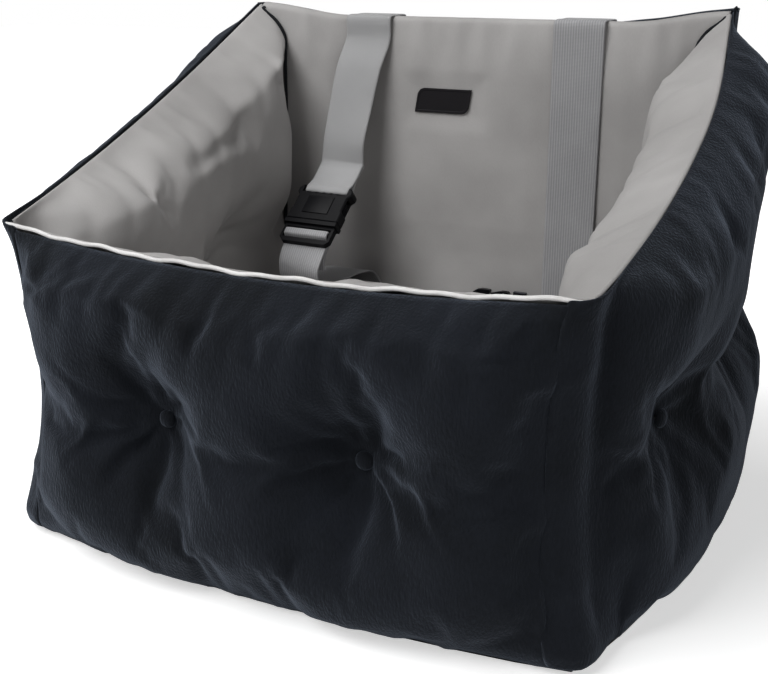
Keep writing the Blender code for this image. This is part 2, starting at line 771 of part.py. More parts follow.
def make_seat(walls, velvet, foam, fibre):
    top_z = cushion_seam_z + cushion_top_bulge
    plan = seat_plan(walls, block_low, top_z, block_clearance)
    steps = 8
    marks = [step / steps * 2 - 1 for step in range(steps)]
    sides = [(mark, -1) for mark in marks] + [(1, mark) for mark in marks]
    sides += [(-x, -y) for x, y in sides]
    block = prism([plan(across, along) for across, along in sides], block_low, block_high)
    finish("foam_block", block, foam)

    plan = seat_plan(walls, block_low, top_z, cushion_clearance)
    half = plan(1, 0)[0]
    half_depth = (plan(0, 1)[1] - plan(0, -1)[1]) / 2
    edge = (0, cushion_allowance, cushion_shoulder)

    def lines(length):
        inner = length - 2 * cushion_edge_reach
        spread = [cushion_edge_reach + inner * step / 4 for step in range(5)]
        return list(edge) + spread + [length - distance for distance in reversed(edge)]
    columns = lines(2 * half)
    rows = lines(2 * half_depth)

    def bulge(x_run, y_run, full, crown):
        near = rise(min(x_run, 2 * half - x_run), cushion_allowance, cushion_edge_reach)
        near *= rise(min(y_run, 2 * half_depth - y_run), cushion_allowance, cushion_edge_reach)
        dome = (1 - (x_run / half - 1) ** 2) * (1 - (y_run / half_depth - 1) ** 2)
        return seam_half + full * near * (1 - crown + crown * dome)

    def place(levels):
        def put(column, row, side):
            x_run = columns[column]
            y_run = rows[row]
            x, y = plan(x_run / half - 1, y_run / half_depth - 1)
            return Vector((x, y, cushion_seam_z + levels[side](x_run, y_run)))
        return put

    def top(x_run, y_run):
        return bulge(x_run, y_run, cushion_top_bulge, cushion_crown_share)

    def bottom(x_run, y_run):
        return bulge(x_run, y_run, cushion_bottom_bulge, 0)
    inset = cover_thickness + gap
    whole = (0, len(columns) - 1)
    stuffed = (2, len(columns) - 3)
    top_levels = (top, lambda x, y: top(x, y) - cover_thickness)
    filling_levels = (lambda x, y: top(x, y) - inset, lambda x, y: inset - bottom(x, y))
    bottom_levels = (lambda x, y: cover_thickness - bottom(x, y), lambda x, y: -bottom(x, y))
    for layer, kept, levels, cloth in (("top_cover", whole, top_levels, velvet),
                                       ("filling", stuffed, filling_levels, fibre),
                                       ("bottom_cover", whole, bottom_levels, velvet)):
        finish(f"cushion_{layer}", lattice(kept, kept, [], place(levels)), cloth, smooth_angle=60)


def ribbon(name, route, width, thickness, cloth):
    """Flat webbing along a route, each spot its centre's x, y, z and then its width's direction."""
    stations = [(Vector(spot[:3]), Vector(spot[3:])) for spot in route]
    loops = []
    for number, (point, across) in enumerate(stations):
        before = stations[max(number - 1, 0)][0]
        after = stations[min(number + 1, len(stations) - 1)][0]
        forward = (after - before).normalized()
        side = (across - forward * across.dot(forward)).normalized()
        through = forward.cross(side)
        loops.append([point + side * a * width / 2 + through * b * thickness / 2
                      for a, b in ((-1, -1), (1, -1), (1, 1), (-1, 1))])
    return finish(name, stack(loops), cloth)


def box(name, low, high, parent, box_material):
    outline = ((low[0], low[1]), (high[0], low[1]), (high[0], high[1]), (low[0], high[1]))
    return finish(name, prism(outline, low[2], high[2]), box_material, parent)


def boolean(target, other, operation="DIFFERENCE"):
    """Cut or join with a guide object, which stays out of the render and the build."""
    step = target.modifiers.new(other.name, "BOOLEAN")
    step.operation = operation
    step.object = other
    other.hide_render = True
    other.display_type = "WIRE"


def bevel_edges(target, width, segments=1):
    edge = target.modifiers.new("soft edges", "BEVEL")
    edge.width = width
    edge.segments = segments
    edge.limit_method = "ANGLE"
    edge.angle_limit = math.radians(40)


def frame_at(name, columns, origin):
    """An empty whose X, Y and Z axes and origin are given in the world."""
    turned = Matrix((columns[0], columns[1], columns[2])).transposed().to_4x4()
    turned.translation = origin
    empty = bpy.data.objects.new(name, None)
    bpy.context.collection.objects.link(empty)
    empty.matrix_world = turned
    return empty, turned


def make_buckle(name, empty, plastic):
    """Socket, plug and the plug's two squeeze arms, closed, with the mouth at the empty's origin."""
    socket_form(name, empty, plastic)
    slide = empty_at(f"{name}_release", (0, 0, 0), empty)
    plug_form(name, slide, plastic)
    reach = window_end - window_clear - arm_root_y
    width = buckle_half_width - pad_inset - arm_root_x
    for hand, sign in (("right", 1), ("left", -1)):
        root = empty_at(f"{name}_{hand}_arm_root", (sign * arm_root_x, arm_root_y, 0), slide)
        outline = []
        for across, along in arm_outline_shares:
            outline.append((sign * width * across, reach * along))
        finish(f"{name}_{hand}_arm", prism(outline, -arm_half_thickness, arm_half_thickness), plastic, root)


def socket_form(name, empty, plastic):
    """The socket: a mouth, side windows for the arms' pads, and a bar for its webbing."""
    half = buckle_half_width
    thick = buckle_half_thickness
    bar_start = socket_length - bar_depth
    slot_start = bar_start - slot_depth
    beyond = socket_length + overrun
    tall = thick + overrun
    side = [(half, 0), (half, window_start - buckle_corner), (half - finger_dip, window_start),
            (half - finger_dip, window_end), (half + bar_flare, slot_start), (half + bar_flare, bar_start),
            (half - buckle_corner, socket_length)]
    outline = side + [(-x, y) for x, y in reversed(side)]
    socket = finish(f"{name}_socket", prism(outline, -thick, thick), plastic, empty)
    bevel_edges(socket, socket_bevel)
    cavity = box(f"{name}_cavity_cutter", (-cavity_half_width, -overrun, -cavity_half_height),
                 (cavity_half_width, cavity_depth, cavity_half_height), empty, plastic)
    boolean(socket, cavity)
    window = box(f"{name}_window_cutter", (-half - overrun, window_start, -cavity_half_height),
                 (half + overrun, window_end, cavity_half_height), empty, plastic)
    boolean(socket, window)
    recess = ((slot_start, -tall), (slot_start, tall), (beyond, tall), (beyond, bar_half_thickness),
              (bar_start, bar_half_thickness), (bar_start, -bar_half_thickness),
              (beyond, -bar_half_thickness), (beyond, -tall))
    recess_form = prism(recess, -slot_half_width, slot_half_width, across="X")
    boolean(socket, finish(f"{name}_bar_cutter", recess_form, plastic, empty))


def plug_form(name, slide, plastic):
    """The plug: a ladder of two bars behind a collar, and a guide tongue."""
    half = buckle_half_width
    front = -plug_gap
    end = -plug_length
    base = half - plug_side_inset
    tall = buckle_half_thickness + overrun
    side = [(tongue_half_width - tongue_chamfer / 2, tongue_length),
            (tongue_half_width, tongue_length - tongue_chamfer), (tongue_half_width, front),
            (base, front), (base, end + plug_corner), (base - plug_corner, end)]
    outline = side + [(-x, y) for x, y in reversed(side)]
    plug = finish(f"{name}_plug", prism(outline, -bar_half_thickness, bar_half_thickness), plastic, slide)
    collar = box(f"{name}_collar_form", (-half, front - collar_length, -buckle_half_thickness),
                 (half, front, buckle_half_thickness), slide, plastic)
    boolean(plug, collar, "UNION")
    for slot, start in (("a", slot_a_start), ("b", slot_b_start)):
        opening = box(f"{name}_slot_{slot}_cutter", (-slot_half_width, start - slot_depth, -tall),
                      (slot_half_width, start, tall), slide, plastic)
        boolean(plug, opening)


def empty_at(name, place, parent=None):
    made = bpy.data.objects.new(name, None)
    bpy.context.collection.objects.link(made)
    made.parent = parent
    made.location = place
    return made


def socket_fold(matrix, width_axis, side):
    """Webbing sewn round the socket's bar: its short end, the turn round the bar, then the long run."""
    layer = webbing_thickness / 2 + gap / 2
    clear = webbing_thickness / 2 + gap
    corner = clear * diagonal_share
    middle = socket_length - bar_depth / 2
    high = bar_half_thickness + clear
    back = bar_depth / 2
    spread = layer + bar_half_thickness * 0.6
    run = ((sewn_fold + bar_depth * 1.5, layer), (bar_depth * 3, layer), (bar_depth * 1.4, spread),
           (bar_depth * 0.7, high), (-back, high), (-back - corner, bar_half_thickness + corner),
           (-back - clear, bar_half_thickness))
    points = [(middle + y, z) for y, z in run] + [(middle + y, -z) for y, z in reversed(run)]
    return [(*(matrix @ Vector((0, y, side * z))), *width_axis) for y, z in points]


def plug_fold(matrix, width_axis, side):
    """Webbing in the plug's ladder: under the end bar, up, over the middle bar, down and back under."""
    clear = webbing_thickness / 2 + gap
    corner = clear * diagonal_share
    bar = bar_half_thickness
    high = bar + clear
    back = slot_b_start
    front = slot_a_start - slot_depth
    end = back - slot_depth
    under = high + webbing_thickness + 2 * gap
    points = ((end - slot_depth * 2, -high - gap), (end - gap, -high), (end + corner, -bar - corner),
              (end + clear, -bar), (back - clear, bar), (back - corner, bar + corner), (back, high),
              (front, high), (front + corner, bar + corner), (front + clear, bar),
              (front + clear, -bar - clear), (front, -under), (front - slot_depth * 0.7, -under - clear / 2),
              (end - slot_depth * 0.9, -under - clear / 2))
    return [(*(matrix @ Vector((0, y, side * z))), *width_axis) for y, z in points]


def over_the_top(x, face_y, rear_y):
    """Webbing over the piping and the back panel's top edge, from the front run to the rear run."""
    top = panel_top(x)
    clear = webbing_thickness / 2 + gap
    pipe_y = panel_y - piping_diameter / 2 - gap
    pipe_z = top - piping_diameter / 2 - gap
    around = piping_diameter / 2 + clear + gap
    across = around * diagonal_share
    edge = clear + gap / 2
    slant = edge * diagonal_share
    knots = ((face_y, top - strap_lead), (face_y, top - strap_turn), (pipe_y - around, pipe_z),
             (pipe_y - across, pipe_z + across), (pipe_y, pipe_z + around),
             (panel_y + panel_thickness / 2, top + clear), (panel_back_y - gap, top + edge),
             (panel_back_y + slant, top + slant), (panel_back_y + edge, top),
             (rear_y, top - strap_turn), (rear_y, top - strap_lead))
    return [(x, y, z, 1, 0, 0) for y, z in knots]


def notch_from_front(x, face_y):
    """Webbing down the crack behind the cushion and into the notch under the panel."""
    knots = [(face_y, crack_high), (face_y, crack_low)]
    for along, up in front_notch_turn_shares:
        knots.append((face_y + notch_height * along, notch_level + notch_height * up))
    knots.append((notch_meeting_y - gap / 2, notch_level))
    return [(x, y, z, 1, 0, 0) for y, z in knots]


def notch_from_rear(x, rear_y):
    """Webbing down the back of the panel and forwards into the same notch."""
    knots = [(rear_y + gap, crack_high), (rear_y + gap, crack_low)]
    for along, up in rear_notch_turn_shares:
        knots.append((rear_y - notch_height * along, notch_level + notch_height * up))
    knots.append((notch_meeting_y + gap / 2, notch_level))
    return [(x, y, z, 1, 0, 0) for y, z in knots]


def slack_points(spots, level):
    """Route points of the slack loop, from their offsets."""
    route = []
    for shift, forward, up, across in spots:
        route.append((left_strap_x + shift, panel_y - forward, level + up, *across))
    return route


def make_left_loop(webbing, plastic):
    """The slack loop: its buckle hangs in front of the panel, tipped forwards over the cushion."""
    way = Vector(left_buckle_way).normalized()
    width_way = Vector(left_buckle_width_way)
    width_way = (width_way - way * width_way.dot(way)).normalized()
    origin = Vector((left_strap_x + left_buckle_shift, panel_y - left_buckle_forward,
                     cushion_seam_z + left_buckle_rise))
    empty, matrix = frame_at("left_buckle_frame", (width_way, way, width_way.cross(way)), origin)
    make_buckle("left_buckle", empty, plastic)
    across = tuple(width_way)
    fold = smooth_route(socket_fold(matrix, across, -1), 2)
    knots = [fold[-1]] + slack_points(hanging_spots, back_height)
    knots += over_the_top(left_strap_x, strap_face_y, strap_rear_y)
    knots += notch_from_rear(left_strap_x, strap_rear_y)
    long_route = fold[:-1] + smooth_route(knots, 2)
    ribbon("left_long_webbing", long_route, webbing_width, webbing_thickness, webbing)
    crack = notch_from_front(left_strap_x, strap_face_y)[::-1]
    over_cushion = slack_points(cushion_spots, cushion_seam_z)
    tail = slack_points([(*spot, across) for spot in tail_spots], cushion_seam_z)
    short_route = smooth_route(crack + over_cushion + plug_fold(matrix, across, 1) + tail, 2)
    ribbon("left_short_webbing", short_route, webbing_width, webbing_thickness, webbing)


def make_right_loop(webbing, plastic):
    """The loop that lies flat on the panel, with its buckle behind the panel."""
    x = right_strap_x
    across = (1, 0, 0)
    buckle_y = panel_back_y + gap + buckle_half_thickness
    buckle_z = back_height - right_buckle_drop
    directions = (Vector((-1, 0, 0)), Vector((0, 0, 1)), Vector((0, 1, 0)))
    empty, matrix = frame_at("right_buckle_frame", directions, Vector((x, buckle_y, buckle_z)))
    make_buckle("right_buckle", empty, plastic)
    over_tether = strap_face_y - tether_thickness - gap
    knots = notch_from_front(x, over_tether)[::-1]
    knots.append((x, over_tether, tether_centre_z + tether_width * 1.9, *across))
    knots.append((x, strap_face_y, tether_centre_z + tether_width * 7, *across))
    knots += over_the_top(x, strap_face_y, strap_rear_y)
    fold_top = buckle_z + socket_length + sewn_fold
    knots.append((x, strap_rear_y + gap, fold_top + strap_lead * 2, *across))
    knots.append((x, strap_rear_y + webbing_thickness * 1.5, fold_top + strap_lead, *across))
    knots += socket_fold(matrix, across, 1)
    ribbon("right_long_webbing", smooth_route(knots, 2), webbing_width, webbing_thickness, webbing)
    outer_y = buckle_y + bar_half_thickness + webbing_thickness / 2 + gap
    plug_end = buckle_z - plug_length
    tail_y = outer_y + webbing_thickness + 5 * gap
    route = notch_from_rear(x, strap_rear_y)[::-1]
    route.append((x, strap_rear_y + webbing_thickness * 1.5, plug_end - strap_lead * 2, *across))
    route.append((x, outer_y, plug_end - strap_lead, *across))
    route += plug_fold(matrix, across, -1)
    route.append((x, tail_y, plug_end - right_tail / 2, *across))
    route.append((x, tail_y - webbing_thickness / 2, plug_end - right_tail, *across))
    ribbon("right_short_webbing", smooth_route(route, 2), webbing_width, webbing_thickness, webbing)


def make_tether(webbing, metal):
    """A narrow strap on edge along the foot of the panel, an eye, a swivelling snap hook and its gate."""
    hook_y = panel_y - hook_axis_y_inset
    against_panel = panel_y - panel_crown - gap - tether_thickness / 2
    bar_x = eye_start_x + eye_length - eye_bar / 2
    clear = tether_thickness / 2 + gap
    turn_x = bar_x - eye_bar / 2 - clear
    thick = eye_half_thickness + clear
    corner = clear * (1 - diagonal_share)
    knots = []
    for part in tether_run_shares:
        knots.append((tether_start_x + (tether_settle_x - tether_start_x) * part, against_panel))
    knots += [(bar_x + eye_length / 2, hook_y + thick + gap), (bar_x - eye_bar / 2, hook_y + thick),
              (turn_x + corner, hook_y + thick - corner), (turn_x, hook_y + eye_half_thickness),
              (turn_x, hook_y - eye_half_thickness), (turn_x + corner, hook_y - thick + corner),
              (bar_x - eye_bar / 2, hook_y - thick), (bar_x + eye_length * 0.43, hook_y - thick)]
    route = [(x, y, tether_centre_z, 0, 0, 1) for x, y in knots]
    ribbon("tether_webbing", smooth_route(route, 2), tether_width, tether_thickness, webbing)

    half_tall = tether_width / 2 + eye_bar + gap
    swivel = empty_at("tether_swivel", (eye_start_x, hook_y, tether_centre_z))
    eye = box("tether_eye", (0, -eye_half_thickness, -half_tall),
              (eye_length, eye_half_thickness, half_tall), swivel, metal)
    bevel_edges(eye, eye_bevel)
    slot_half = tether_width / 2 + gap
    through = eye_half_thickness + overrun
    slot = box("tether_eye_slot_cutter", (eye_bar, -through, -slot_half),
               (eye_length - eye_bar, through, slot_half), swivel, metal)
    boolean(eye, slot)
    boolean(eye, round_bar("tether_eye_bore_cutter", swivel_bore_radius, -overrun, eye_bar + overrun,
                           swivel, metal))
    make_hook(swivel, metal)


def round_bar(name, radius, low, high, parent, bar_material, across="X", at=(0, 0), sides=12):
    outline = []
    for side in range(sides):
        turn = 2 * math.pi * side / sides
        outline.append((at[0] + radius * math.cos(turn), at[1] + radius * math.sin(turn)))
    return finish(name, prism(outline, low, high, across=across), bar_material, parent)


def make_hook(swivel, metal):
    """The snap hook points to -X from its swivel pin; its gate closes the top side from within."""
    half = hook_half_height
    stock = hook_stock
    inner = half - stock
    bow_x = half - hook_length
    steps = 8
    outer_bow = []
    inner_bow = []
    for step in range(steps + 1):
        turn = -math.pi / 2 - math.pi * step / steps
        outer_bow.append((bow_x + half * math.cos(turn), half * math.sin(turn)))
        inner_bow.append((bow_x + inner * math.cos(turn), inner * math.sin(turn)))
    nose_x = bow_x + nose_reach
    post_x = -gate_pivot_inset - stock * 0.7
    outline = [(-gap, -hook_neck_half), (-hook_shoulder, -half)] + outer_bow
    outline += [(nose_x, half), (nose_x + nose_round, half - nose_round), (nose_x, inner)]
    outline += reversed(inner_bow)
    outline += [(post_x - stock * 0.4, -inner), (post_x, hook_neck_half)]
    outline += [(post_x - stock * 0.1, half - stock * 0.2), (post_x + stock * 0.2, half)]
    outline += [(-hook_shoulder, half), (-gap, hook_neck_half)]
    depth = hook_half_thickness
    body = finish("tether_hook", prism(outline, -depth, depth, across="Y"), metal, swivel)
    head_start = eye_bar + gap
    head_end = head_start + swivel_head_thickness
    boolean(body, round_bar("tether_pin_form", swivel_pin_radius, -overrun,
                            head_start + swivel_head_thickness / 2, swivel, metal), "UNION")
    boolean(body, round_bar("tether_pin_head_form", swivel_head_radius, head_start, head_end,
                            swivel, metal), "UNION")

    pivot_x = -gate_pivot_inset
    pivot_z = half - stock / 2
    heel_x = pivot_x + gate_heel_room
    slot_floor = inner - gate_slot_depth
    slot = ((heel_x, slot_floor), (heel_x, half + overrun), (post_x - stock, half + overrun),
            (post_x - stock, slot_floor))
    slot_form = prism(slot, -gate_slot_half, gate_slot_half, across="Y")
    boolean(body, finish("tether_gate_slot_cutter", slot_form, metal, swivel))
    boolean(body, round_bar("tether_gate_bore_cutter", gate_bore_radius, -depth - overrun, depth + overrun,
                            swivel, metal, "Y", (pivot_x, pivot_z)))
    hinge = empty_at("tether_gate_pivot", (pivot_x, 0, pivot_z), swivel)
    round_bar("tether_gate_pin", gate_pin_radius, -depth, depth, hinge, metal, "Y")
    tip = nose_x - nose_round - pivot_x
    drop = stock / 2 + gap
    thick = gate_half_height
    gate_outline = [(thick, -thick / 2), (thick, thick / 2), (thick / 2, thick), (-2 * thick, thick)]
    gate_outline += [(tip + thick * 1.4, thick - drop), (tip + thick * 1.4, -drop)]
    gate_outline += [(tip - thick * 1.4, -drop), (tip - thick * 1.4, -drop - thick)]
    gate_outline += [(tip + thick * 1.8, -drop - thick), (-2 * thick, -thick)]
    gate_form = prism(gate_outline, -gate_half_thickness, gate_half_thickness, across="Y")
    gate = finish("tether_gate", gate_form, metal, hinge)
    boolean(gate, round_bar("tether_gate_eye_cutter", gate_bore_radius, -gate_half_thickness - overrun,
                            gate_half_thickness + overrun, hinge, metal, "Y"))


def main():
    clear_scene()
    plush = material("plush", plush_colour, 0.95)
    velvet = material("velvet", velvet_colour, 0.85)
    fibre = material("fibre_filling", fibre_colour, 0.95)
    foam = material("foam", foam_colour, 0.9)
    webbing = material("webbing", webbing_colour, 0.7)
    plastic = material("black_plastic", plastic_colour, 0.35)
    base = material("non_slip_fabric", base_colour, 0.8)
    board = material("board", board_colour, 0.6)
    piping = material("black_piping", plastic_colour, 0.8)
    label = material("label", label_colour, 0.55)
    tether = material("tether_webbing", base_colour, 0.7)
    metal = material("black_metal", hook_colour, 0.3, 1)
    walls = make_walls()
    for wall in walls:
        wall.build(plush, velvet, fibre)
    make_back_panel(walls[2], plush, velvet, foam, piping, label)
    make_base(walls, base, board)
    make_seat(walls, velvet, foam, fibre)
    make_left_loop(webbing, plastic)
    make_right_loop(webbing, plastic)
    make_tether(tether, metal)


main()
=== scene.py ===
"""Dog car seat, dressed: plush and velvet covers with tufted buttons, ribbed webbing, buckles, tether."""

import math

import bmesh
import bpy
from mathutils import Matrix, Vector, kdtree, noise
from mathutils.bvhtree import BVHTree


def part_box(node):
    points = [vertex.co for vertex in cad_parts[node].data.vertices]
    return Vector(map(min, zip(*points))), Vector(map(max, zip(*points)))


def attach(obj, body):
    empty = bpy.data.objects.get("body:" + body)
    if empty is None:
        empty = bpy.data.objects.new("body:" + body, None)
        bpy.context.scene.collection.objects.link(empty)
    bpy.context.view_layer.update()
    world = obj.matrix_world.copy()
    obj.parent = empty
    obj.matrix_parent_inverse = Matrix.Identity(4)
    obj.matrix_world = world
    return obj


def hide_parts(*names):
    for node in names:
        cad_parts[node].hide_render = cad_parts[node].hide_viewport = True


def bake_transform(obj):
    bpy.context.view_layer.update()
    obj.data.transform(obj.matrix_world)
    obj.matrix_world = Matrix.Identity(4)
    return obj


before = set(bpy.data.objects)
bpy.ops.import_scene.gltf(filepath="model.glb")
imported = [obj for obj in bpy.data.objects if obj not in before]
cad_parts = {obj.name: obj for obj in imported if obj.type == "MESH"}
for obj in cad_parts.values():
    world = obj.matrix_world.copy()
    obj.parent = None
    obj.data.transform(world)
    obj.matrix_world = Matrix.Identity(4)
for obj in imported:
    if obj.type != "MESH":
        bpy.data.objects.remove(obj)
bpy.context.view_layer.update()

# The box along its seams, as packed
seat_width = 0.500
seat_depth = 0.390
front_height = 0.277
back_height = 0.4365
side_rim_sag_share = 0.42
front_rim_sag = 0.010
gap = 0.0003
cover_thickness = 0.0024
wall_outer_bulge = 0.034
side_outer_bulge = 0.039
front_inner_bulge = 0.047
side_inner_bulge = 0.057
front_bows = (0.020, 0.015)
side_bows = (0.031, 0.011)
corner_draw = 0.012
bow_power_share = 0.85
back_end_bulge_share = 0.36
tuft_pinch_share = 0.86
tuft_spread = 0.042
front_tuft_draw_share = 0.80
side_tuft_draw_share = 0.10
front_valley = (0.22, 0.026)
side_valley = (0.50, 0.038)
corner_allowance = 0.010
rim_allowance = 0.004
floor_allowance = 0.003
outer_corner_reach = 0.070
inner_corner_reach = 0.120
back_corner_reach = 0.050
outer_rim_reach = 0.030
inner_rim_reach = 0.028
outer_floor_reach = 0.060
inner_floor_reach = 0.040
front_tuft_shares = (0.316, 0.684)
side_tuft_shares = (0.280, 0.684)
tuft_height_share = 0.5
tuft_seat = 0.009
panel_thickness = 0.028
panel_crown = 0.004
panel_sag = 0.011
panel_flat_share = 0.58
notch_width = 0.056
notch_height = 0.0135

front_y = -seat_depth / 2
panel_y = seat_depth / 2
panel_back_y = panel_y + panel_thickness
seam_half = cover_thickness + gap / 2
floor_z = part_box("non_slip_bottom")[1].z + gap
panel_half_width = seat_width / 2 + seam_half

# Straps, buckles, tether and cushion, as packed
webbing_width = 0.050
webbing_thickness = 0.002
left_strap_x = -0.118
right_strap_x = 0.104
strap_standoff = 0.0005
strap_turn = 0.006
strap_lead = 0.020
sewn_fold = 0.030
crack_low = 0.040
crack_high = 0.115
right_tail = 0.044
front_notch_turn_shares = ((0.03, 0.96), (0.19, 0.41), (0.63, 0.06))
rear_notch_turn_shares = ((-0.02, 0.66), (0.06, 0.43), (0.44, 0.09))
diagonal_share = 0.71
# Where the left webbing hangs free: its shift to the right, forward and up, and the way of its width
hanging_spots = ((-0.0138, 0.0350, -0.1335, (0.985, -0.12, -0.06)),
                 (-0.0105, 0.0260, -0.0985, (1, -0.04, 0)), (-0.0060, 0.0165, -0.0605, (1, 0, 0)))
cushion_spots = ((-0.0050, 0.0064, 0.0190, (1, 0, 0)), (-0.0100, 0.0085, 0.0390, (1, 0, 0)),
                 (-0.0140, 0.0170, 0.0520, (1, 0, 0)), (-0.0170, 0.0350, 0.0563, (1, 0, 0)),
                 (-0.0190, 0.0650, 0.0563, (1, 0, 0)), (-0.0195, 0.0900, 0.0556, (1, 0.02, 0)),
                 (-0.0194, 0.1070, 0.0590, (1, 0, -0.04)), (-0.0190, 0.1185, 0.0680, (0.99, -0.10, -0.08)),
                 (-0.0185, 0.1215, 0.0795, (0.98, -0.16, -0.11)))
tail_spots = ((-0.0177, 0.1130, 0.0856), (-0.0179, 0.1122, 0.0770))
left_buckle_shift = -0.0169
left_buckle_forward = 0.0935
left_buckle_rise = 0.118
left_buckle_way = (0.026, 0.752, 0.659)
left_buckle_width_way = (0.972, -0.190, -0.130)
right_buckle_drop = 0.2015
buckle_half_thickness = 0.0065
socket_length = 0.043
bar_half_thickness = 0.003
bar_depth = 0.0045
slot_depth = 0.0045
plug_length = 0.026
plug_gap = 0.0005
collar_length = 0.0045
collar_web = 0.003
middle_bar_depth = 0.004
tether_width = 0.020
tether_thickness = 0.0015
tether_start_x = 0.214
tether_settle_x = 0.080
tether_run_shares = (0, 0.48, 0.78, 1)
tether_centre_z = 0.1475
hook_axis_y_inset = 0.010
eye_start_x = 0.050
eye_length = 0.014
eye_half_thickness = 0.002
eye_bar = 0.003
board_thickness = 0.004
block_height = 0.068
cushion_clearance = 0.0015
cushion_top_bulge = 0.051
cushion_bottom_bulge = 0.032
cushion_edge_reach = 0.024
cushion_allowance = 0.004
cushion_crown_share = 0.10
cushion_corner_share = 0.03
cushion_front_flat_share = 0.5
cushion_back_clearance = 0.0135
piping_diameter = 0.0035
piping_height_shares = (0.05, 0.168, 0.307, 0.468, 0.607, 0.746, 0.861, 0.926, 0.962, 0.979, 0.989)
panel_crown_reach = 0.065
panel_crown_rise_share = 0.15
label_width = 0.058
label_height = 0.024
label_thickness = 0.0012
label_skew = 0.004
label_round = 0.007
label_standoff = 0.0008
label_centre = (-0.034, 0.3465)

cushion_seam_z = floor_z + board_thickness + block_height + 2 * gap + cushion_bottom_bulge + seam_half
strap_face_y = panel_y - panel_crown - gap - webbing_thickness / 2 - strap_standoff
strap_rear_y = panel_back_y + gap + webbing_thickness / 2
notch_level = floor_z + board_thickness + webbing_thickness / 2 + 3 * gap
notch_meeting_y = panel_y + panel_thickness / 2
slot_a_start = -plug_gap - collar_length - collar_web
slot_b_start = slot_a_start - slot_depth - middle_bar_depth
panel_flat_edge = side_inner_bulge * back_end_bulge_share + 3 * piping_diameter + 2 * seam_half
block_low = floor_z + board_thickness + gap

# How the covers are cut and sewn
cloth_cell = 0.005
skin_thickness = 0.0018
weld = 0.00002
cloth_angle = 75
copy_angle = 60
plain_angle = 40
hard_angle = 30
bevel_angle = 35
corner_wrap = 0.018
corner_steps = 4
corner_first_share = 0.3
corner_turn_share = 0.21
wrap_seam_share = 0.9
wrap_own_share = 0.6
wrap_neighbour_share = 0.2
corner_push_levels = ((0, 0), (0.06, 0.008), (0.22, 0.011), (0.45, 0.0055), (0.8, 0.006), (1, 0.004))
corner_push_reach = 0.032
foot_levels = [0, 0.0045, 0.0105]
foot_roll = 0.007
foot_roll_height = 0.0035
foot_roll_fade = 0.040
side_end_fade = 0.04
side_start_inset = 0.003
side_low_inset = 0.013
side_low_place = (0.13, 0.14)
side_rear_inset = 0.015
side_rear_place = (0.68, 0.17)
side_rear_start = (0.50, 0.80)
rear_swell = 0.001
rear_swell_start = (0.72, 0.92)
rear_swell_end = (0.002, 0.020)
rear_swell_place = (0.022, 0.018)
seam_valley = 0.0020
seam_valley_width = 0.010
seam_dive = 0.0030
seam_dive_start = 0.001
seam_tuck = 0.004
rim_lift = 0.008
rim_lift_place = (0.014, 0.011)
lean = 0.010
lean_x = (0.14, 0.25)
lean_y = 0.02
lean_z = (0.30, 0.43)
lean_fade = 0.018
inner_inset = 0.003
inner_back_inset = 0.0005
inner_lips = ((0, -0.2), (0.0015, 0.5))
panel_side_ease = 0.0085
panel_side_place = (0.024, 0.020)
panel_side_end = 0.010
lip_height = 0.0030
lip_radius = 0.0017
lip_cell = 0.006
lip_end = 0.007
lip_waves = ((0.0008, 71, 0), (0.0006, 173, 1))
lip_drop = 0.0004
lip_corner_drop = 0.002
lip_corner_reach = 0.02
lip_depth_share = 0.75

# Puckers under the rim and creases round each tuft
pleat_sharpness = 1.3
rim_pleat_pitch = 0.034
rim_pleat_depth = 0.0035
rim_pleat_slant = 0.25
rim_pleat_wander = 0.004
rim_pleat_wander_rate = 57
rim_pleat_start = (0.004, 0.014)
rim_pleat_reach = 0.055
tuft_pleats = 9
tuft_pleat_depth = 0.0045
tuft_pleat_twist = 3
tuft_pleat_turn_rate = 37
tuft_pleat_start = (0.008, 0.020)
tuft_pleat_reach = 0.075
pleat_start_fade = (0.015, 0.050)
pleat_end_fade = (0.010, 0.050)
pleat_foot_fade = (0.010, 0.040)

# How the cloth settles: spare cloth, pressure, and how far it may move out and in
settle_frames = 20
border_reach = 0.030
held_tuft_share = 0.85
side_settling = (0.045, 3.2, 0.007, 0.005)
front_settling = (0.05, 4, 0.009, 0.004)
inner_settling = (0.06, 4, 0.010, 0.004)
cushion_settling = (0.03, 3, 0.004, 0.004)
cushion_cell = cloth_cell * 1.2
plan_levels = 6
cushion_held_share = 0.6
cushion_seam_inset = 0.001
cloth_settings = {"vertex_group_mass": "held", "quality": 5, "mass": 0.15, "tension_stiffness": 25,
                  "compression_stiffness": 15, "shear_stiffness": 10, "bending_stiffness": 0.6,
                  "use_pressure": True}

# The wall fillings, drawn in behind their covers
stuffing_push = -0.003
cushion_stuffing_push = -0.004
stuffing_slack_share = 0.32
stuffing_inset = 0.004
tuft_slack_share = 0.30
tuft_slack_reach = 0.055
cover_search = 0.08
cover_room = 0.0055

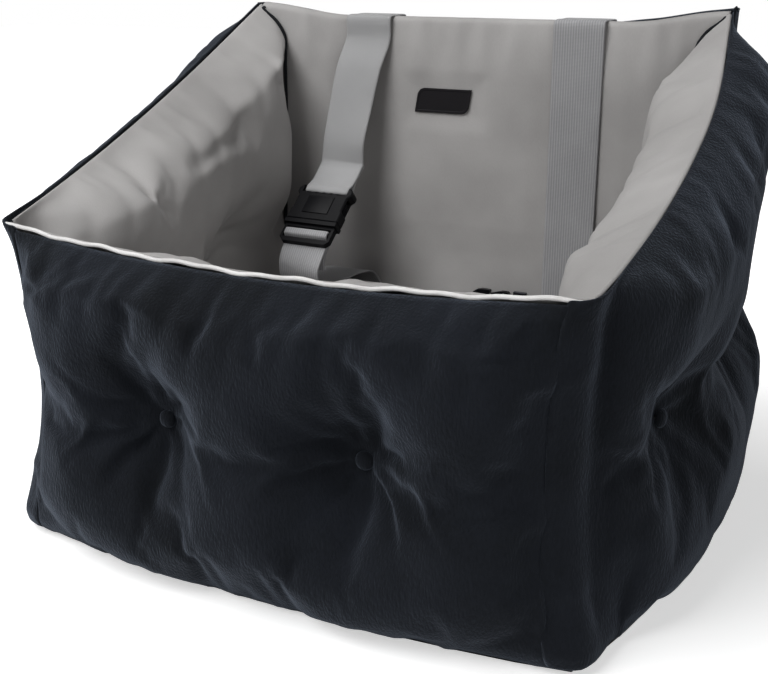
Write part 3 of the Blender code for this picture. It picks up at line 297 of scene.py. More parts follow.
# The back panel's face, back and piping
face_side_inset = 0.004
face_foot = 0.002
face_roll = 0.009
face_roll_drop_share = 0.45
face_roll_back_share = 0.9
face_roll_up_share = 0.62
face_roll_turns = (25, 50, 75, 100, 130)
face_puckers = ((1, 190, 0.045), (0.5, 97, 0.11))
face_pucker_wander = (0.6, 61)
face_pucker_slant = 21
face_pucker_depth = 0.0020
face_puff = 0.0022
face_puff_reach = (0.004, 0.05)
face_edge_fade = (0.030, 0.060)
strap_fade = (0.002, 0.022)
label_fade = 0.018
hook_fade = 0.03
hook_room_centre_x = 0.095
hook_room_half_width = 0.150
hook_room_half_height = 0.045
back_wraps = ((panel_thickness - 0.001, 0), (0.018, 0), (0.010, 0), (0.004, 0.0006), (0.0012, 0.0035))
back_top_wraps = ((0.0185, 0.0016), (0.014, 0.0002), (0.008, 0), (0.003, 0.0008), (0.0010, 0.0035))
back_inset = 0.008
back_cell = cloth_cell * 1.4
back_puff = 0.007
back_puff_reach = (0.006, 0.09)
back_puff_noise = 0.4
back_puff_noise_rates = (16, 9)
back_ear = (0.001, 0.0012)
back_ear_start = (0.012, 0.016)
back_shown = 0.0030
back_shown_start = 0.012
back_shown_end_share = 0.62
back_weld = 0.0001
piping_side_forward = 0.001
piping_top_back = 0.0065
piping_top_drop = 0.0022
piping_top_steps = 40
piping_steps = 3

# The label's edge: steps round a corner, and for each ring its distance in from the outline and its height
label_round_steps = 8
label_steps = ((0, 0), (0, label_thickness - 0.0003), (0.0003, label_thickness), (0.0020, label_thickness),
               (0.0024, label_thickness - 0.0004))

# Webbing: steps between the knots of its routes, and shares that place the knots
fold_steps = 3
left_long_steps = 6
right_long_steps = 5
short_steps = 4
fold_shares = (1.5, 3, 1.4, 0.7)
fold_spread_share = 0.6
plug_tuck_shares = (2, 0.7, 0.9)
over_tether_share = 1.9
past_tether_share = 7
strap_lean_share = 1.5
tail_gaps = 5
tether_end_share = 0.43

# Webbing: where its columns lie across it, and how thick it is beyond a share of its half width
webbing_columns = (-1, -0.94, -0.82, -0.5, 0, 0.5, 0.82, 0.94, 1)
selvages = ((0.97, 0.35), (0.9, 0.85), (-1, 1))
least_step = 0.0006
stitch_pitch = 0.0031
stitch_count = 14
stitch_rows = (0.0028, 0.0075)
stitch_size = (0.0011, 0.0003, 0.0003, 1)
stitch_standoff = 0.00005
stitch_segments = (6, 5)
outer_layer_share = 1.5

# Details on the buckles
plate_middle = 0.0185
plate_size = (0.030, 0.021, 0.0012, 1)
plate_standoff = 0.0004
plate_bevel = 0.0005
ridge_count = 5
ridge_along = 0.0335
ridge_pitch = 0.0085
ridge_size = (0.0032, 0.0009, 0.0006, 1)
ridge_segments = (10, 6)
grip_x = 0.0294
grip_start = 0.0178
grip_pitch = 0.0021
grip_size = (0.0007, 0.0006, 0.0024, 1)
grip_segments = (6, 8)

# The base
bottom_draw_share = 0.985
bottom_shift = 0.003

# Camera and lights
camera_lens = 54.81
camera_sensor = 36
camera_shift = (-2.37 / 768, 8.28 / 768)
camera_right = Vector((0.8888, 0.4583, 0))
camera_up = Vector((-0.1445, 0.2802, 0.9490))
camera_place = Vector((0.4597, -0.8915, 0.4833))
lamp_target = Vector((0, 0, 0.2))
floor_size = 6
floor_drop = 0.0004
white = (1, 1, 1, 1)


def share(value, low, high):
    return min(max((value - low) / (high - low), 0), 1)


def eased(value, low, high):
    part = share(value, low, high)
    return part * part * (3 - 2 * part)


def bell(value, middle, width):
    """1 at the middle, and next to nothing from twice the width away."""
    return math.exp(-((value - middle) / width) ** 2)


def halfway(level, power):
    """1 in the middle of a span from 0 to 1, and 0 at both ends."""
    return 1 - abs(2 * level - 1) ** power


def pulled_in(spot, hold=1):
    """The top of the right rear corner leans in, drawn by its cloth."""
    near = eased(spot.x, *lean_x) * eased(spot.y, lean_y, panel_y) * eased(spot.z, *lean_z)
    return Vector((spot.x - lean * near * hold, spot.y, spot.z))


def rise(distance, allowance, reach):
    """Share of the full bulge at a distance from a seam."""
    return 1 - (1 - share(distance, allowance, allowance + reach)) ** 2


def side_rim(place):
    climb = place * (1 - side_rim_sag_share) + side_rim_sag_share * place ** 2
    return front_height + (back_height - front_height) * climb


def front_rim(place):
    return front_height - front_rim_sag * (1 - (2 * place - 1) ** 2)


class Wall:
    """A stuffed wall: a sheet through its seams, and how far its covers stand off the sheet."""

    def __init__(self, name, start, along, outward, length, blunt_end):
        self.name = name
        self.start = Vector(start)
        self.along = Vector(along)
        self.outward = Vector(outward)
        self.length = length
        self.blunt_end = blunt_end
        if blunt_end:
            self.rim, self.bows, self.outer_valley = side_rim, side_bows, side_valley
            self.outer_bulge, self.inner_bulge = side_outer_bulge, side_inner_bulge
            self.tuft_draw = side_tuft_draw_share
        else:
            self.rim, self.bows, self.outer_valley = front_rim, front_bows, front_valley
            self.outer_bulge, self.inner_bulge = wall_outer_bulge, front_inner_bulge
            self.tuft_draw = front_tuft_draw_share
        self.tufts = [length * tuft for tuft in (side_tuft_shares if blunt_end else front_tuft_shares)]

    def top(self, run):
        return self.rim(run / self.length) - floor_z

    def tuft_distance(self, run, height):
        middle = self.top(run) * tuft_height_share
        return min(math.hypot(run - tuft, height - middle) for tuft in self.tufts)

    def dimple(self, run, height):
        return bell(max(self.tuft_distance(run, height) - tuft_seat * math.sqrt(2), 0), 0, tuft_spread)

    def pinch(self, run, height, valley_share, spread):
        valley = 1 - valley_share * bell(height, self.top(run) * tuft_height_share, spread)
        return min(valley, 1 - tuft_pinch_share * self.dimple(run, height))

    def outer(self, run, height):
        full = rise(run, corner_allowance, outer_corner_reach)
        far_reach = back_corner_reach if self.blunt_end else outer_corner_reach
        full *= rise(self.length - run, corner_allowance, far_reach)
        full *= rise(self.top(run) - height, rim_allowance, outer_rim_reach)
        full *= rise(height, floor_allowance, outer_floor_reach)
        return seam_half + self.outer_bulge * full * self.pinch(run, height, *self.outer_valley)

    def inner(self, run, height):
        full = rise(run, corner_allowance, inner_corner_reach)
        if self.blunt_end:
            end = rise(self.length - run, 0, back_corner_reach)
            full *= back_end_bulge_share + (1 - back_end_bulge_share) * end
        else:
            full *= rise(self.length - run, corner_allowance, inner_corner_reach)
        full *= rise(self.top(run) - height, rim_allowance, inner_rim_reach)
        full *= rise(height, floor_allowance, inner_floor_reach)
        return seam_half + self.inner_bulge * full * self.pinch(run, height, *front_valley)

    def point(self, run, height, depth):
        """A point on the wall at a depth outside its seam sheet; the front corners draw in halfway up."""
        level = height / self.top(run)
        bottom_bow, top_bow = self.bows
        full = bottom_bow * (1 - level) + top_bow * level
        held = 1 - self.tuft_draw * self.dimple(run, height)
        bowed = full * held * max(1 - (2 * run / self.length - 1) ** 2, 0) ** bow_power_share
        drawn = corner_draw * 4 * level * (1 - level)
        if self.blunt_end:
            near = 1 - run / self.length
            along = run + drawn * near
        else:
            near = abs(2 * run / self.length - 1)
            along = run - drawn * (2 * run / self.length - 1)
        out = bowed + depth - drawn * near ** 2
        flat = self.start + self.along * along + self.outward * out
        return Vector((flat.x, flat.y, floor_z + height))


def pleat(turn):
    """Depth share of a row of creases, one for each half turn."""
    return (1 - abs(math.sin(turn))) ** pleat_sharpness


def crease(wall, place):
    """How deep the cloth folds in at a place: puckers under the rim, and creases that run out from each tuft."""
    run = (Vector((place.x, place.y)) - wall.start).dot(wall.along)
    height = place.z - floor_z
    top = wall.top(min(max(run, 0), wall.length))
    from_rim = top - height
    wander = run + rim_pleat_slant * from_rim + rim_pleat_wander * math.sin(run * rim_pleat_wander_rate)
    under_rim = rim_pleat_depth * pleat(math.pi * wander / rim_pleat_pitch)
    depth = under_rim * share(from_rim, *rim_pleat_start) * bell(from_rim, 0, rim_pleat_reach)
    tuft = min(wall.tufts, key=lambda centre: abs(centre - run))
    up = height - top * tuft_height_share
    away = math.hypot(run - tuft, up)
    turn = math.atan2(up, run - tuft) + tuft_pleat_twist * away
    round_tuft = tuft_pleat_depth * pleat(tuft_pleats / 2 * turn + tuft * tuft_pleat_turn_rate)
    depth += round_tuft * share(away, *tuft_pleat_start) * bell(away, 0, tuft_pleat_reach)
    ends = share(run, *pleat_start_fade) * share(wall.length - run, *pleat_end_fade)
    return depth * ends * share(height, *pleat_foot_fade)


def make_walls():
    front_length = seat_width + 2 * seam_half
    side_start = front_y + seam_half + gap
    side_length = panel_y - gap - side_start
    front = Wall("front_wall", (-front_length / 2, front_y), (1, 0), (0, -1), front_length, False)
    left, right = (Wall(f"{hand}_wall", (side * seat_width / 2, side_start), (0, 1), (side, 0), side_length, True)
                   for hand, side in (("left", -1), ("right", 1)))
    return front, left, right


def link(name, data, finish=None):
    made = bpy.data.objects.new(name, data)
    bpy.context.scene.collection.objects.link(made)
    if finish:
        data.materials.append(finish)
    return made


def from_bmesh(name, bm, finish, smooth=True, angle=plain_angle):
    mesh = bpy.data.meshes.new(name)
    bm.to_mesh(mesh)
    bm.free()
    if smooth:
        mesh.shade_smooth()
        mesh.set_sharp_from_angle(angle=math.radians(angle))
    return link(name, mesh, finish)


def evenly(low, high, step):
    count = max(round((high - low) / step), 1)
    return [low + (high - low) * number / count for number in range(count + 1)]


def sheet_grid(spots, facing, measures=None):
    """A sheet of cloth: a grid whose points come from spots[column][row], turned to face a way.

    Measures are the distances across and along, which become its UV map in metres."""
    bm = bmesh.new()
    across = len(spots) - 1
    up = len(spots[0]) - 1
    bmesh.ops.create_grid(bm, x_segments=across, y_segments=up, size=0.5)
    cells = {}
    for vertex in bm.verts:
        cells[vertex] = (round((vertex.co.x + 0.5) * across), round((vertex.co.y + 0.5) * up))
    if measures is not None:
        layer = bm.loops.layers.uv.new("cloth")
        for face in bm.faces:
            for corner in face.loops:
                column, row = cells[corner.vert]
                corner[layer].uv = (measures[0][column], measures[1][row])
    for vertex, (column, row) in cells.items():
        vertex.co = spots[column][row]
    bm.normal_update()
    total = Vector()
    for face in bm.faces:
        total += face.normal * face.calc_area()
    if total.dot(facing) < 0:
        bmesh.ops.reverse_faces(bm, faces=bm.faces[:])
    return bm


def border_of(spots, lip=1):
    """The spots along the edge of a grid, with as many of its last rows as the lip has."""
    edges = spots[0] + spots[-1]
    for column in spots:
        edges += column[:1] + column[-lip:]
    return edges


def key(spot):
    return tuple(round(value, 6) for value in spot)


def settle(skin, is_held, borders, growth, pressure, out_cap, in_cap):
    """Blow a cover out as its filling does: held at its seams and tufts, with a little spare cloth."""
    mesh = skin.data
    start = [vertex.co.copy() for vertex in mesh.vertices]
    normals = [vertex.normal.copy() for vertex in mesh.vertices]
    held = skin.vertex_groups.new(name="held")
    held.add([vertex.index for vertex in mesh.vertices if is_held(vertex.co)], 1, "REPLACE")
    cloth = skin.modifiers.new("settling", "CLOTH")
    for setting, value in cloth_settings.items():
        setattr(cloth.settings, setting, value)
    cloth.settings.uniform_pressure_force = pressure
    cloth.settings.shrink_min = -growth
    cloth.settings.effector_weights.gravity = 0
    cloth.point_cache.frame_end = settle_frames
    scene = bpy.context.scene
    for number in range(1, settle_frames + 1):
        scene.frame_set(number)
    settled = skin.evaluated_get(bpy.context.evaluated_depsgraph_get()).data
    moved = [vertex.co.copy() for vertex in settled.vertices]
    skin.modifiers.remove(cloth)
    scene.frame_set(1)
    edge_tree = kdtree.KDTree(len(borders))
    for number, spot in enumerate(borders):
        edge_tree.insert(spot, number)
    edge_tree.balance()
    for vertex, old, new, way in zip(mesh.vertices, start, moved, normals):
        free = share(edge_tree.find(old)[2], 0, border_reach)
        shift = new - old
        along = shift.dot(way)
        side = shift - way * along
        side_cap = out_cap * free
        if side.length > side_cap:
            side *= side_cap / side.length
        vertex.co = old + way * min(max(along, -in_cap * free ** 2), out_cap) + side


def rounded(made, levels):
    rounding = made.modifiers.new("rounding", "SUBSURF")
    rounding.levels = levels
    rounding.render_levels = levels


def finish_skin(skin, node):
    """Round the cloth off, give it its thickness inwards, and let it stand for a packed cover."""
    rounded(skin, 1)
    thick = skin.modifiers.new("thickness", "SOLIDIFY")
    thick.thickness = skin_thickness
    thick.offset = -1
    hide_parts(node)
    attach(skin, "seat")


def corner_push(distance, level):
    """How far a front corner swells out, most just above the floor."""
    for (low, first), (high, second) in zip(corner_push_levels, corner_push_levels[1:]):
        if level <= high:
            break
    push = first + (second - first) * share(level, low, high)
    return push * bell(max(distance, 0), 0, corner_push_reach)


def outer_spot(wall, owner, run, level):
    """A point of an outer cover on the wall that owns it: the cover's own, or the front where a side turns it."""
    top = owner.top(run)
    edge = min(run, owner.length - run if owner is front else wall.length)
    height = (top - lip_height if wall is front else top) * level
    middle = halfway(level, 3)
    depth = owner.outer(run, height) + corner_push(edge, level)
    depth += foot_roll * ((1 - math.exp(-height / foot_roll_height)) * bell(height, 0, foot_roll_fade))
    if owner is not front:
        place = run / owner.length
        ends = share(run, 0, side_end_fade) * share(owner.length - run, 0, side_end_fade)
        low = bell(level, *side_low_place)
        rear = share(place, *side_rear_start) * bell(level, *side_rear_place)
        depth -= (side_start_inset * middle + side_low_inset * low + side_rear_inset * rear) * ends
        swell = share(place, *rear_swell_start) * share(owner.length - run, *rear_swell_end)
        depth += rear_swell * swell * bell(top - height, *rear_swell_place)
    if wall is front:
        depth -= seam_valley * bell(edge, corner_wrap, seam_valley_width) * middle
        depth -= seam_dive * middle * share(corner_wrap + seam_dive_start - edge, 0, seam_tuck)
    elif edge > corner_wrap * wrap_seam_share and owner is front:
        depth -= seam_valley * middle
    spot = owner.point(run, height, depth)
    if owner is not front:
        spot.z += rim_lift * bell(top - height, *rim_lift_place)
    return spot


def outer_spots(wall):
    """Grid of points of a wall's outer cover; a side cover starts on the front face and turns the corner."""
    if wall is front:
        runs = evenly(corner_wrap - seam_tuck, wall.length - corner_wrap + seam_tuck, cloth_cell)
        columns = [(wall, run) for run in runs]
    else:
        insets = [corner_wrap * (1 - step / corner_steps) for step in range(corner_steps)]
        columns = [(front, front.length - inset if wall is right else inset) for inset in insets]
        columns += [(wall, run) for run in evenly(corner_wrap * corner_first_share, wall.length, cloth_cell)]
    levels = foot_levels + evenly(0, 1, cloth_cell / front_height)[1:]
    spots = [[outer_spot(wall, owner, run, level) for level in levels] for owner, run in columns]
    if wall is not front:
        last = corner_steps - 1
        turn = []
        for a, b in zip(spots[last], spots[last + 1]):
            outwards = (wall.outward + front.outward) * corner_turn_share * (a - b).length
            turn.append((a + b) / 2 + Vector((outwards.x, outwards.y, 0)))
        spots.insert(last + 1, turn)
        for number in range(last, last + 4):
            before, here, after = spots[number - 1:number + 2]
            spots[number] = [spot * wrap_own_share + (a + b) * wrap_neighbour_share
                             for spot, a, b in zip(here, before, after)]
    held = []
    for column in spots:
        rear = bell(panel_y, column[-1].y, lean_fade)
        held.append([pulled_in(spot, max(rear, bell(column[-1].z, spot.z, lean_fade))) for spot in column])
    return held


def inner_spots(wall):
    """Grid of points of a wall's inner cover; on a side wall its top edge turns over the rim."""
    spots = []
    for run in evenly(inner_inset, wall.length - (inner_back_inset if wall.blunt_end else inner_inset), cloth_cell):
        top = wall.top(run)
        column = []
        for level in evenly(0, 1, cloth_cell / front_height):
            depth = wall.inner(run, top * level)
            if wall.blunt_end:
                from_panel = wall.length - run
                near = bell(from_panel, *panel_side_place) * share(from_panel, 0, panel_side_end)
                depth -= panel_side_ease * near * halfway(level, 4)
            column.append(wall.point(run, top * level, -depth))
        if wall.blunt_end:
            column += [wall.point(run, top - drop, seam_half * part) for drop, part in inner_lips]
        spots.append([pulled_in(spot) for spot in column])
    return spots


def make_rim_lip():
    """The turned edge of the velvet that shows along the front rim, painted pale: a painted highlight where the light
    strikes it.
    """
    points = []
    for run in evenly(inner_inset, front.length - lip_end, lip_cell):
        wave = sum(size * math.sin(run * rate + start) for size, rate, start in lip_waves)
        from_corner = min(run, front.length - run)
        lift = wave - lip_drop - lip_corner_drop * (1 - share(from_corner, 0, lip_corner_reach))
        points.append(front.point(run, front.top(run) + lift, seam_half * lip_depth_share))
    lip = make_tube("front_rim_lip", points, lip_radius, velvet_edge)


def make_skin(wall, outside):
    """A wall's outer or inner cover."""
    side = "outer" if outside else "inner"
    facing = Vector((*wall.outward, 0)) * (1 if outside else -1)
    spots = outer_spots(wall) if outside else inner_spots(wall)
    cloth = plush if outside else velvet
    skin = from_bmesh(f"{wall.name}_{side}_skin", sheet_grid(spots, facing), cloth, angle=cloth_angle)
    edges = border_of(spots, 3 if not outside and wall.blunt_end else 1)
    fixed = {key(spot) for spot in edges}
    tufts = []
    for tuft in wall.tufts:
        height = wall.top(tuft) * tuft_height_share
        tufts.append(wall.point(tuft, height, wall.outer(tuft, height) if outside else -wall.inner(tuft, height)))

    def is_held(place):
        return key(place) in fixed or any((place - tuft).length < tuft_seat * held_tuft_share for tuft in tufts)
    folds = [crease(wall, vertex.co) for vertex in skin.data.vertices]
    settling = inner_settling if not outside else side_settling if wall.blunt_end else front_settling
    settle(skin, is_held, edges, *settling)
    normals = [vertex.normal.copy() for vertex in skin.data.vertices]
    for vertex, normal, fold in zip(skin.data.vertices, normals, folds):
        vertex.co -= normal * fold
    finish_skin(skin, f"{wall.name}_{side}_cover")
    return skin


def merged_copy(node):
    bm = bmesh.new()
    bm.from_mesh(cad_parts[node].data)
    bmesh.ops.remove_doubles(bm, verts=bm.verts[:], dist=weld)
    return bm


def rounded_copy(node, name, finish, levels, push=0.0):
    """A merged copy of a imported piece, rounded off, standing for it."""
    bm = merged_copy(node)
    if push:
        bm.normal_update()
        for vertex, normal in [(vertex, vertex.normal.copy()) for vertex in bm.verts]:
            vertex.co += normal * push
    made = from_bmesh(name, bm, finish, angle=copy_angle)
    rounded(made, levels)
    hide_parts(node)
    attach(made, "seat")
    return made


def bevelled_copy(node, name, finish, width, segments):
    """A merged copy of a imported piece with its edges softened, standing for it."""
    bm = merged_copy(node)
    bmesh.ops.dissolve_limit(bm, angle_limit=math.radians(1), verts=bm.verts[:], edges=bm.edges[:])
    made = from_bmesh(name, bm, finish, angle=hard_angle)
    soft = made.modifiers.new("soft_edges", "BEVEL")
    soft.width = width
    soft.segments = segments
    soft.limit_method = "ANGLE"
    soft.angle_limit = math.radians(bevel_angle)
    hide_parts(node)
    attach(made, "seat")
    return made


def make_stuffing(wall, skins):
    """A wall's filling, drawn in so that it stays behind both covers."""
    stuffing = rounded_copy(f"{wall.name}_filling", f"{wall.name}_stuffing", fibre, 1, stuffing_push)
    covers = {way: BVHTree.FromPolygons([vertex.co for vertex in skin.data.vertices],
                                        [face.vertices[:] for face in skin.data.polygons])
              for way, skin in skins.items()}
    outward = Vector((*wall.outward, 0))
    for vertex in stuffing.data.vertices:
        run = min(max((vertex.co.xy - wall.start).dot(wall.along), 0), wall.length)
        height = vertex.co.z - floor_z
        depth = (vertex.co - wall.point(run, height, 0)).xy.dot(wall.outward)
        near_tuft = bell(wall.tuft_distance(run, height), 0, tuft_slack_reach)
        slack = depth * (stuffing_slack_share + tuft_slack_share * near_tuft)
        slack += math.copysign(min(abs(depth - slack) / 2, stuffing_inset), depth)
        vertex.co = pulled_in(vertex.co - outward * slack)
        way = 1 if depth > 0 else -1
        toward = outward * way
        hit = covers[way].ray_cast(vertex.co + toward * cover_search, -toward)[0]
        if hit is not None:
            vertex.co -= toward * max(cover_room - (hit - vertex.co).dot(toward), 0)


# Back panel

def panel_top(x):
    """Height of the back panel's top edge: the straps draw its middle down a little."""
    climb = eased(abs(x), panel_half_width * panel_flat_share, panel_half_width)
    return back_height - panel_sag * (1 - climb)


def panel_face(x, z):
    """Where the back panel's padded face lies: a slight crown in front of the panel's plane."""
    across = rise(panel_half_width - abs(x), panel_flat_edge, panel_crown_reach)
    reach = panel_crown_rise_share * (back_height - panel_sag - floor_z - notch_height)
    up = rise(panel_top(x) - z, 0, reach) * rise(z - floor_z - notch_height, 0, reach)
    return panel_y - panel_crown * across * up


def beside_straps(x):
    """0 under a strap, 1 well clear of both."""
    clear = min(abs(x - left_strap_x), abs(x - right_strap_x)) - webbing_width / 2
    return share(clear, *strap_fade)


def beside(x, z, centre_x, centre_z, half_width, half_height, fade):
    """0 behind something that lies on the panel, 1 well clear of it."""
    return share(max(abs(x - centre_x) - half_width, abs(z - centre_z) - half_height), 0.0, fade)


def strap_columns(half, cell):
    """Even columns across the panel, with one on each side of both notches."""
    marks = [-half]
    for centre in (left_strap_x, right_strap_x):
        marks += [centre - notch_width / 2, centre + notch_width / 2]
    marks.append(half)
    columns = [-half]
    for start, stop in zip(marks, marks[1:]):
        columns += evenly(start, stop, cell)[1:]
    return columns


def make_panel_skin(name, spots, facing, finish, node, weld_distance=None):
    """A panel cover, left open where the webbing goes through under the panel."""
    bm = sheet_grid([[pulled_in(spot) for spot in column] for column in spots], Vector((0, facing, 0)))
    if weld_distance:
        bmesh.ops.remove_doubles(bm, verts=bm.verts[:], dist=weld_distance)
    gone = []
    for face in bm.faces:
        middle = face.calc_center_median()
        inside = min(abs(middle.x - left_strap_x), abs(middle.x - right_strap_x)) < notch_width / 2
        if inside and middle.z < floor_z + notch_height:
            gone.append(face)
    bmesh.ops.delete(bm, geom=gone, context="FACES")
    finish_skin(from_bmesh(name, bm, finish, angle=cloth_angle), node)


def face_softness(x, z):
    """How far the velvet stands off the panel: puckers under the top edge, and padding between the straps."""
    from_top = panel_top(x) - z
    (high, high_rate, high_reach), (low, low_rate, low_reach) = face_puckers
    wander, wander_rate = face_pucker_wander
    pucker = high * math.sin(x * high_rate + wander * math.sin(x * wander_rate)) * bell(from_top, 0, high_reach)
    pucker += low * math.sin(x * low_rate + z * face_pucker_slant) * bell(from_top, 0, low_reach)
    soft = face_pucker_depth * pucker + face_puff * rise(from_top, *face_puff_reach)
    clear = share(panel_half_width - abs(x), *face_edge_fade)
    clear *= beside(x, z, *label_centre, label_width / 2 + label_skew, label_height / 2, label_fade)
    clear *= beside(x, z, hook_room_centre_x, tether_centre_z, hook_room_half_width, hook_room_half_height, hook_fade)
    return max(soft, 0) * beside_straps(x) * clear


def make_panel_front():
    """The velvet face, drawn over the top edge, with soft puckers under it between the straps."""
    foot = floor_z + face_foot
    notch_top = floor_z + notch_height
    spots = []
    for x in strap_columns(panel_half_width - face_side_inset, cloth_cell):
        top = panel_top(x) - face_roll * face_roll_drop_share
        column = [Vector((x, panel_face(x, z), z)) for z in (foot, notch_top)]
        for level in evenly(0, 1, cloth_cell / (back_height - floor_z))[1:]:
            z = notch_top + (top - notch_top) * level
            column.append(Vector((x, panel_face(x, z) - face_softness(x, z), z)))
        edge_y = column[-1].y
        for turn in map(math.radians, face_roll_turns):
            y = edge_y + face_roll * (1 - math.cos(turn)) * face_roll_back_share
            column.append(Vector((x, y, top + face_roll * face_roll_up_share * math.sin(turn))))
        spots.append(column)
    make_panel_skin("panel_velvet_face", spots, -1, velvet, "back_panel_inner_cover")


def make_panel_back():
    """The plush back of the panel, wrapped forwards over its sides, foot and top."""
    half = panel_half_width
    columns = [(-half + inset, forward) for forward, inset in back_wraps]
    columns += [(x, 0) for x in strap_columns(half - back_inset, back_cell)]
    columns += [(half - inset, forward) for forward, inset in reversed(back_wraps)]
    levels = evenly(0, 1, back_cell / back_height)
    notch_top = floor_z + notch_height
    rate_x, rate_z = back_puff_noise_rates
    ear_x, ear_z = back_ear
    spots = []
    for x, side_forward in columns:
        top = panel_top(x)
        rows = [(floor_z + inset, forward) for forward, inset in back_wraps[:-1]] + [(notch_top, 0)]
        rows += [(notch_top + (top - back_inset - notch_top) * level, 0) for level in levels[1:]]
        rows += [(top - inset, forward) for forward, inset in reversed(back_top_wraps)]
        column = []
        for z, level_forward in rows:
            y = panel_back_y - max(side_forward, level_forward)
            edge = min(half - abs(x), top - z, z - floor_z)
            puff = back_puff * rise(edge, *back_puff_reach) * beside_straps(x)
            puff *= 1 + back_puff_noise * noise.noise(Vector((x * rate_x, y, z * rate_z)))
            ear = share(abs(x), half - back_ear_start[0], half) * share(z, top - back_ear_start[1], top)
            shown = share(z, top - back_shown_start, top)
            shown *= share(x, right_strap_x + webbing_width / 2, half * back_shown_end_share)
            way = 1 if x > 0 else -1
            column.append(Vector((x + way * ear_x * ear, y + puff, z + ear_z * ear + back_shown * shown)))
        spots.append(column)
    make_panel_skin("panel_plush_back", spots, 1, plush, "back_panel_outer_cover", back_weld)


def make_piping(wall):
    """Piping in both corners beside the panel; along the top it lies under the edge of the velvet."""
    radius = piping_diameter / 2
    level_y = panel_y - radius - gap
    run = wall.length - 2 * radius - 2 * gap
    right_side = []
    for part in piping_height_shares:
        height = (back_height - floor_z) * part
        spot = wall.point(run, height, -wall.inner(run, height) - radius - 2 * gap)
        right_side.append((spot.x, level_y - piping_side_forward, spot.z))
    top = []
    reach = right_side[-1][0] - radius
    for step in range(piping_top_steps + 1):
        x = reach - 2 * reach * step / piping_top_steps
        top.append((x, level_y + piping_top_back, panel_top(x) - radius - gap - piping_top_drop))
    left_side = [(-x, y, z) for x, y, z in reversed(right_side)]
    points = [pulled_in(Vector(spot)) for spot in smooth_route(right_side + top + left_side, piping_steps)]
    make_tube("panel_piping", points, radius, piping_cloth, "back_panel_piping")


def make_tube(name, points, radius, finish, node=None):
    curve = bpy.data.curves.new(name, "CURVE")
    curve.dimensions = "3D"
    curve.bevel_depth = radius
    curve.bevel_resolution = 3
    curve.use_fill_caps = True
    spline = curve.splines.new("POLY")
    spline.points.add(len(points) - 1)
    for knot, point in zip(spline.points, points):
        knot.co = (*point, 1)
    made = link(name, curve, finish)
    if node:
        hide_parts(node)
    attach(made, "seat")
    return made


def make_label():
    """A bare moulded patch: skewed, two corners rounded, a raised rim round a sunk field."""
    half_width = label_width / 2
    half_height = label_height / 2
    outline = []
    for side in (-1, 1):
        for turn in [math.pi / 2 * step / label_round_steps for step in range(label_round_steps + 1)]:
            outline.append((side * (half_width - label_round * (1 - math.sin(turn))),
                            side * (label_round * (1 - math.cos(turn)) - half_height)))
        outline.append((side * half_width, side * half_height))
    face_y = panel_y - panel_crown - gap - label_standoff
    bm = bmesh.new()
    rings = []
    for inset, height in label_steps:
        ring = []
        for x, z in outline:
            near_x = x * (1 - inset / half_width)
            near_z = z * (1 - inset / half_height)
            skewed = label_centre[0] + near_x + label_skew * near_z / label_height
            ring.append(bm.verts.new((skewed, face_y - height, label_centre[1] + near_z)))
        rings.append([bm.edges.new((a, b)) for a, b in zip(ring, ring[1:] + ring[:1])])
    for low, high in zip(rings, rings[1:]):
        bmesh.ops.bridge_loops(bm, edges=low + high)
    for ring in (rings[0], rings[-1]):
        bmesh.ops.contextual_create(bm, geom=ring)
    bmesh.ops.recalc_face_normals(bm, faces=bm.faces[:])
    made = from_bmesh("label_plate", bm, label_finish, angle=hard_angle)
    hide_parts("label_patch")
    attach(made, "seat")


# Webbing

def smooth_route(knots, steps):
    """Points of a centripetal Catmull-Rom curve; each knot starts with x, y, z and may carry more."""
    ends = [tuple(2 * a - b for a, b in zip(knots[0], knots[1]))]
    ends += list(knots)
    ends.append(tuple(2 * a - b for a, b in zip(knots[-1], knots[-2])))

    def mixed(first, second, low, high, when):
        part = (when - low) / (high - low)
        return tuple(a + (b - a) * part for a, b in zip(first, second))
    route = []
    for before, start, stop, after in zip(ends, ends[1:], ends[2:], ends[3:]):
        times = [0]
        for here, there in ((before, start), (start, stop), (stop, after)):
            times.append(times[-1] + math.sqrt(math.dist(here[:3], there[:3])))
        t0, t1, t2, t3 = times
        for step in range(steps):
            when = t1 + (t2 - t1) * step / steps
            middle = mixed(start, stop, t1, t2, when)
            first = mixed(mixed(before, start, t0, t1, when), middle, t0, t2, when)
            second = mixed(middle, mixed(stop, after, t2, t3, when), t1, t3, when)
            route.append(mixed(first, second, t1, t2, when))
    route.append(tuple(knots[-1]))
    return route


def thinned(route):
    """The route without spots closer together than the least step, its ends kept."""
    kept = [route[0]]
    for spot in route[1:-1]:
        if math.dist(spot[:3], kept[-1][:3]) > least_step:
            kept.append(spot)
    if math.dist(route[-1][:3], kept[-1][:3]) < least_step and len(kept) > 1:
        kept.pop()
    return kept + [route[-1]]


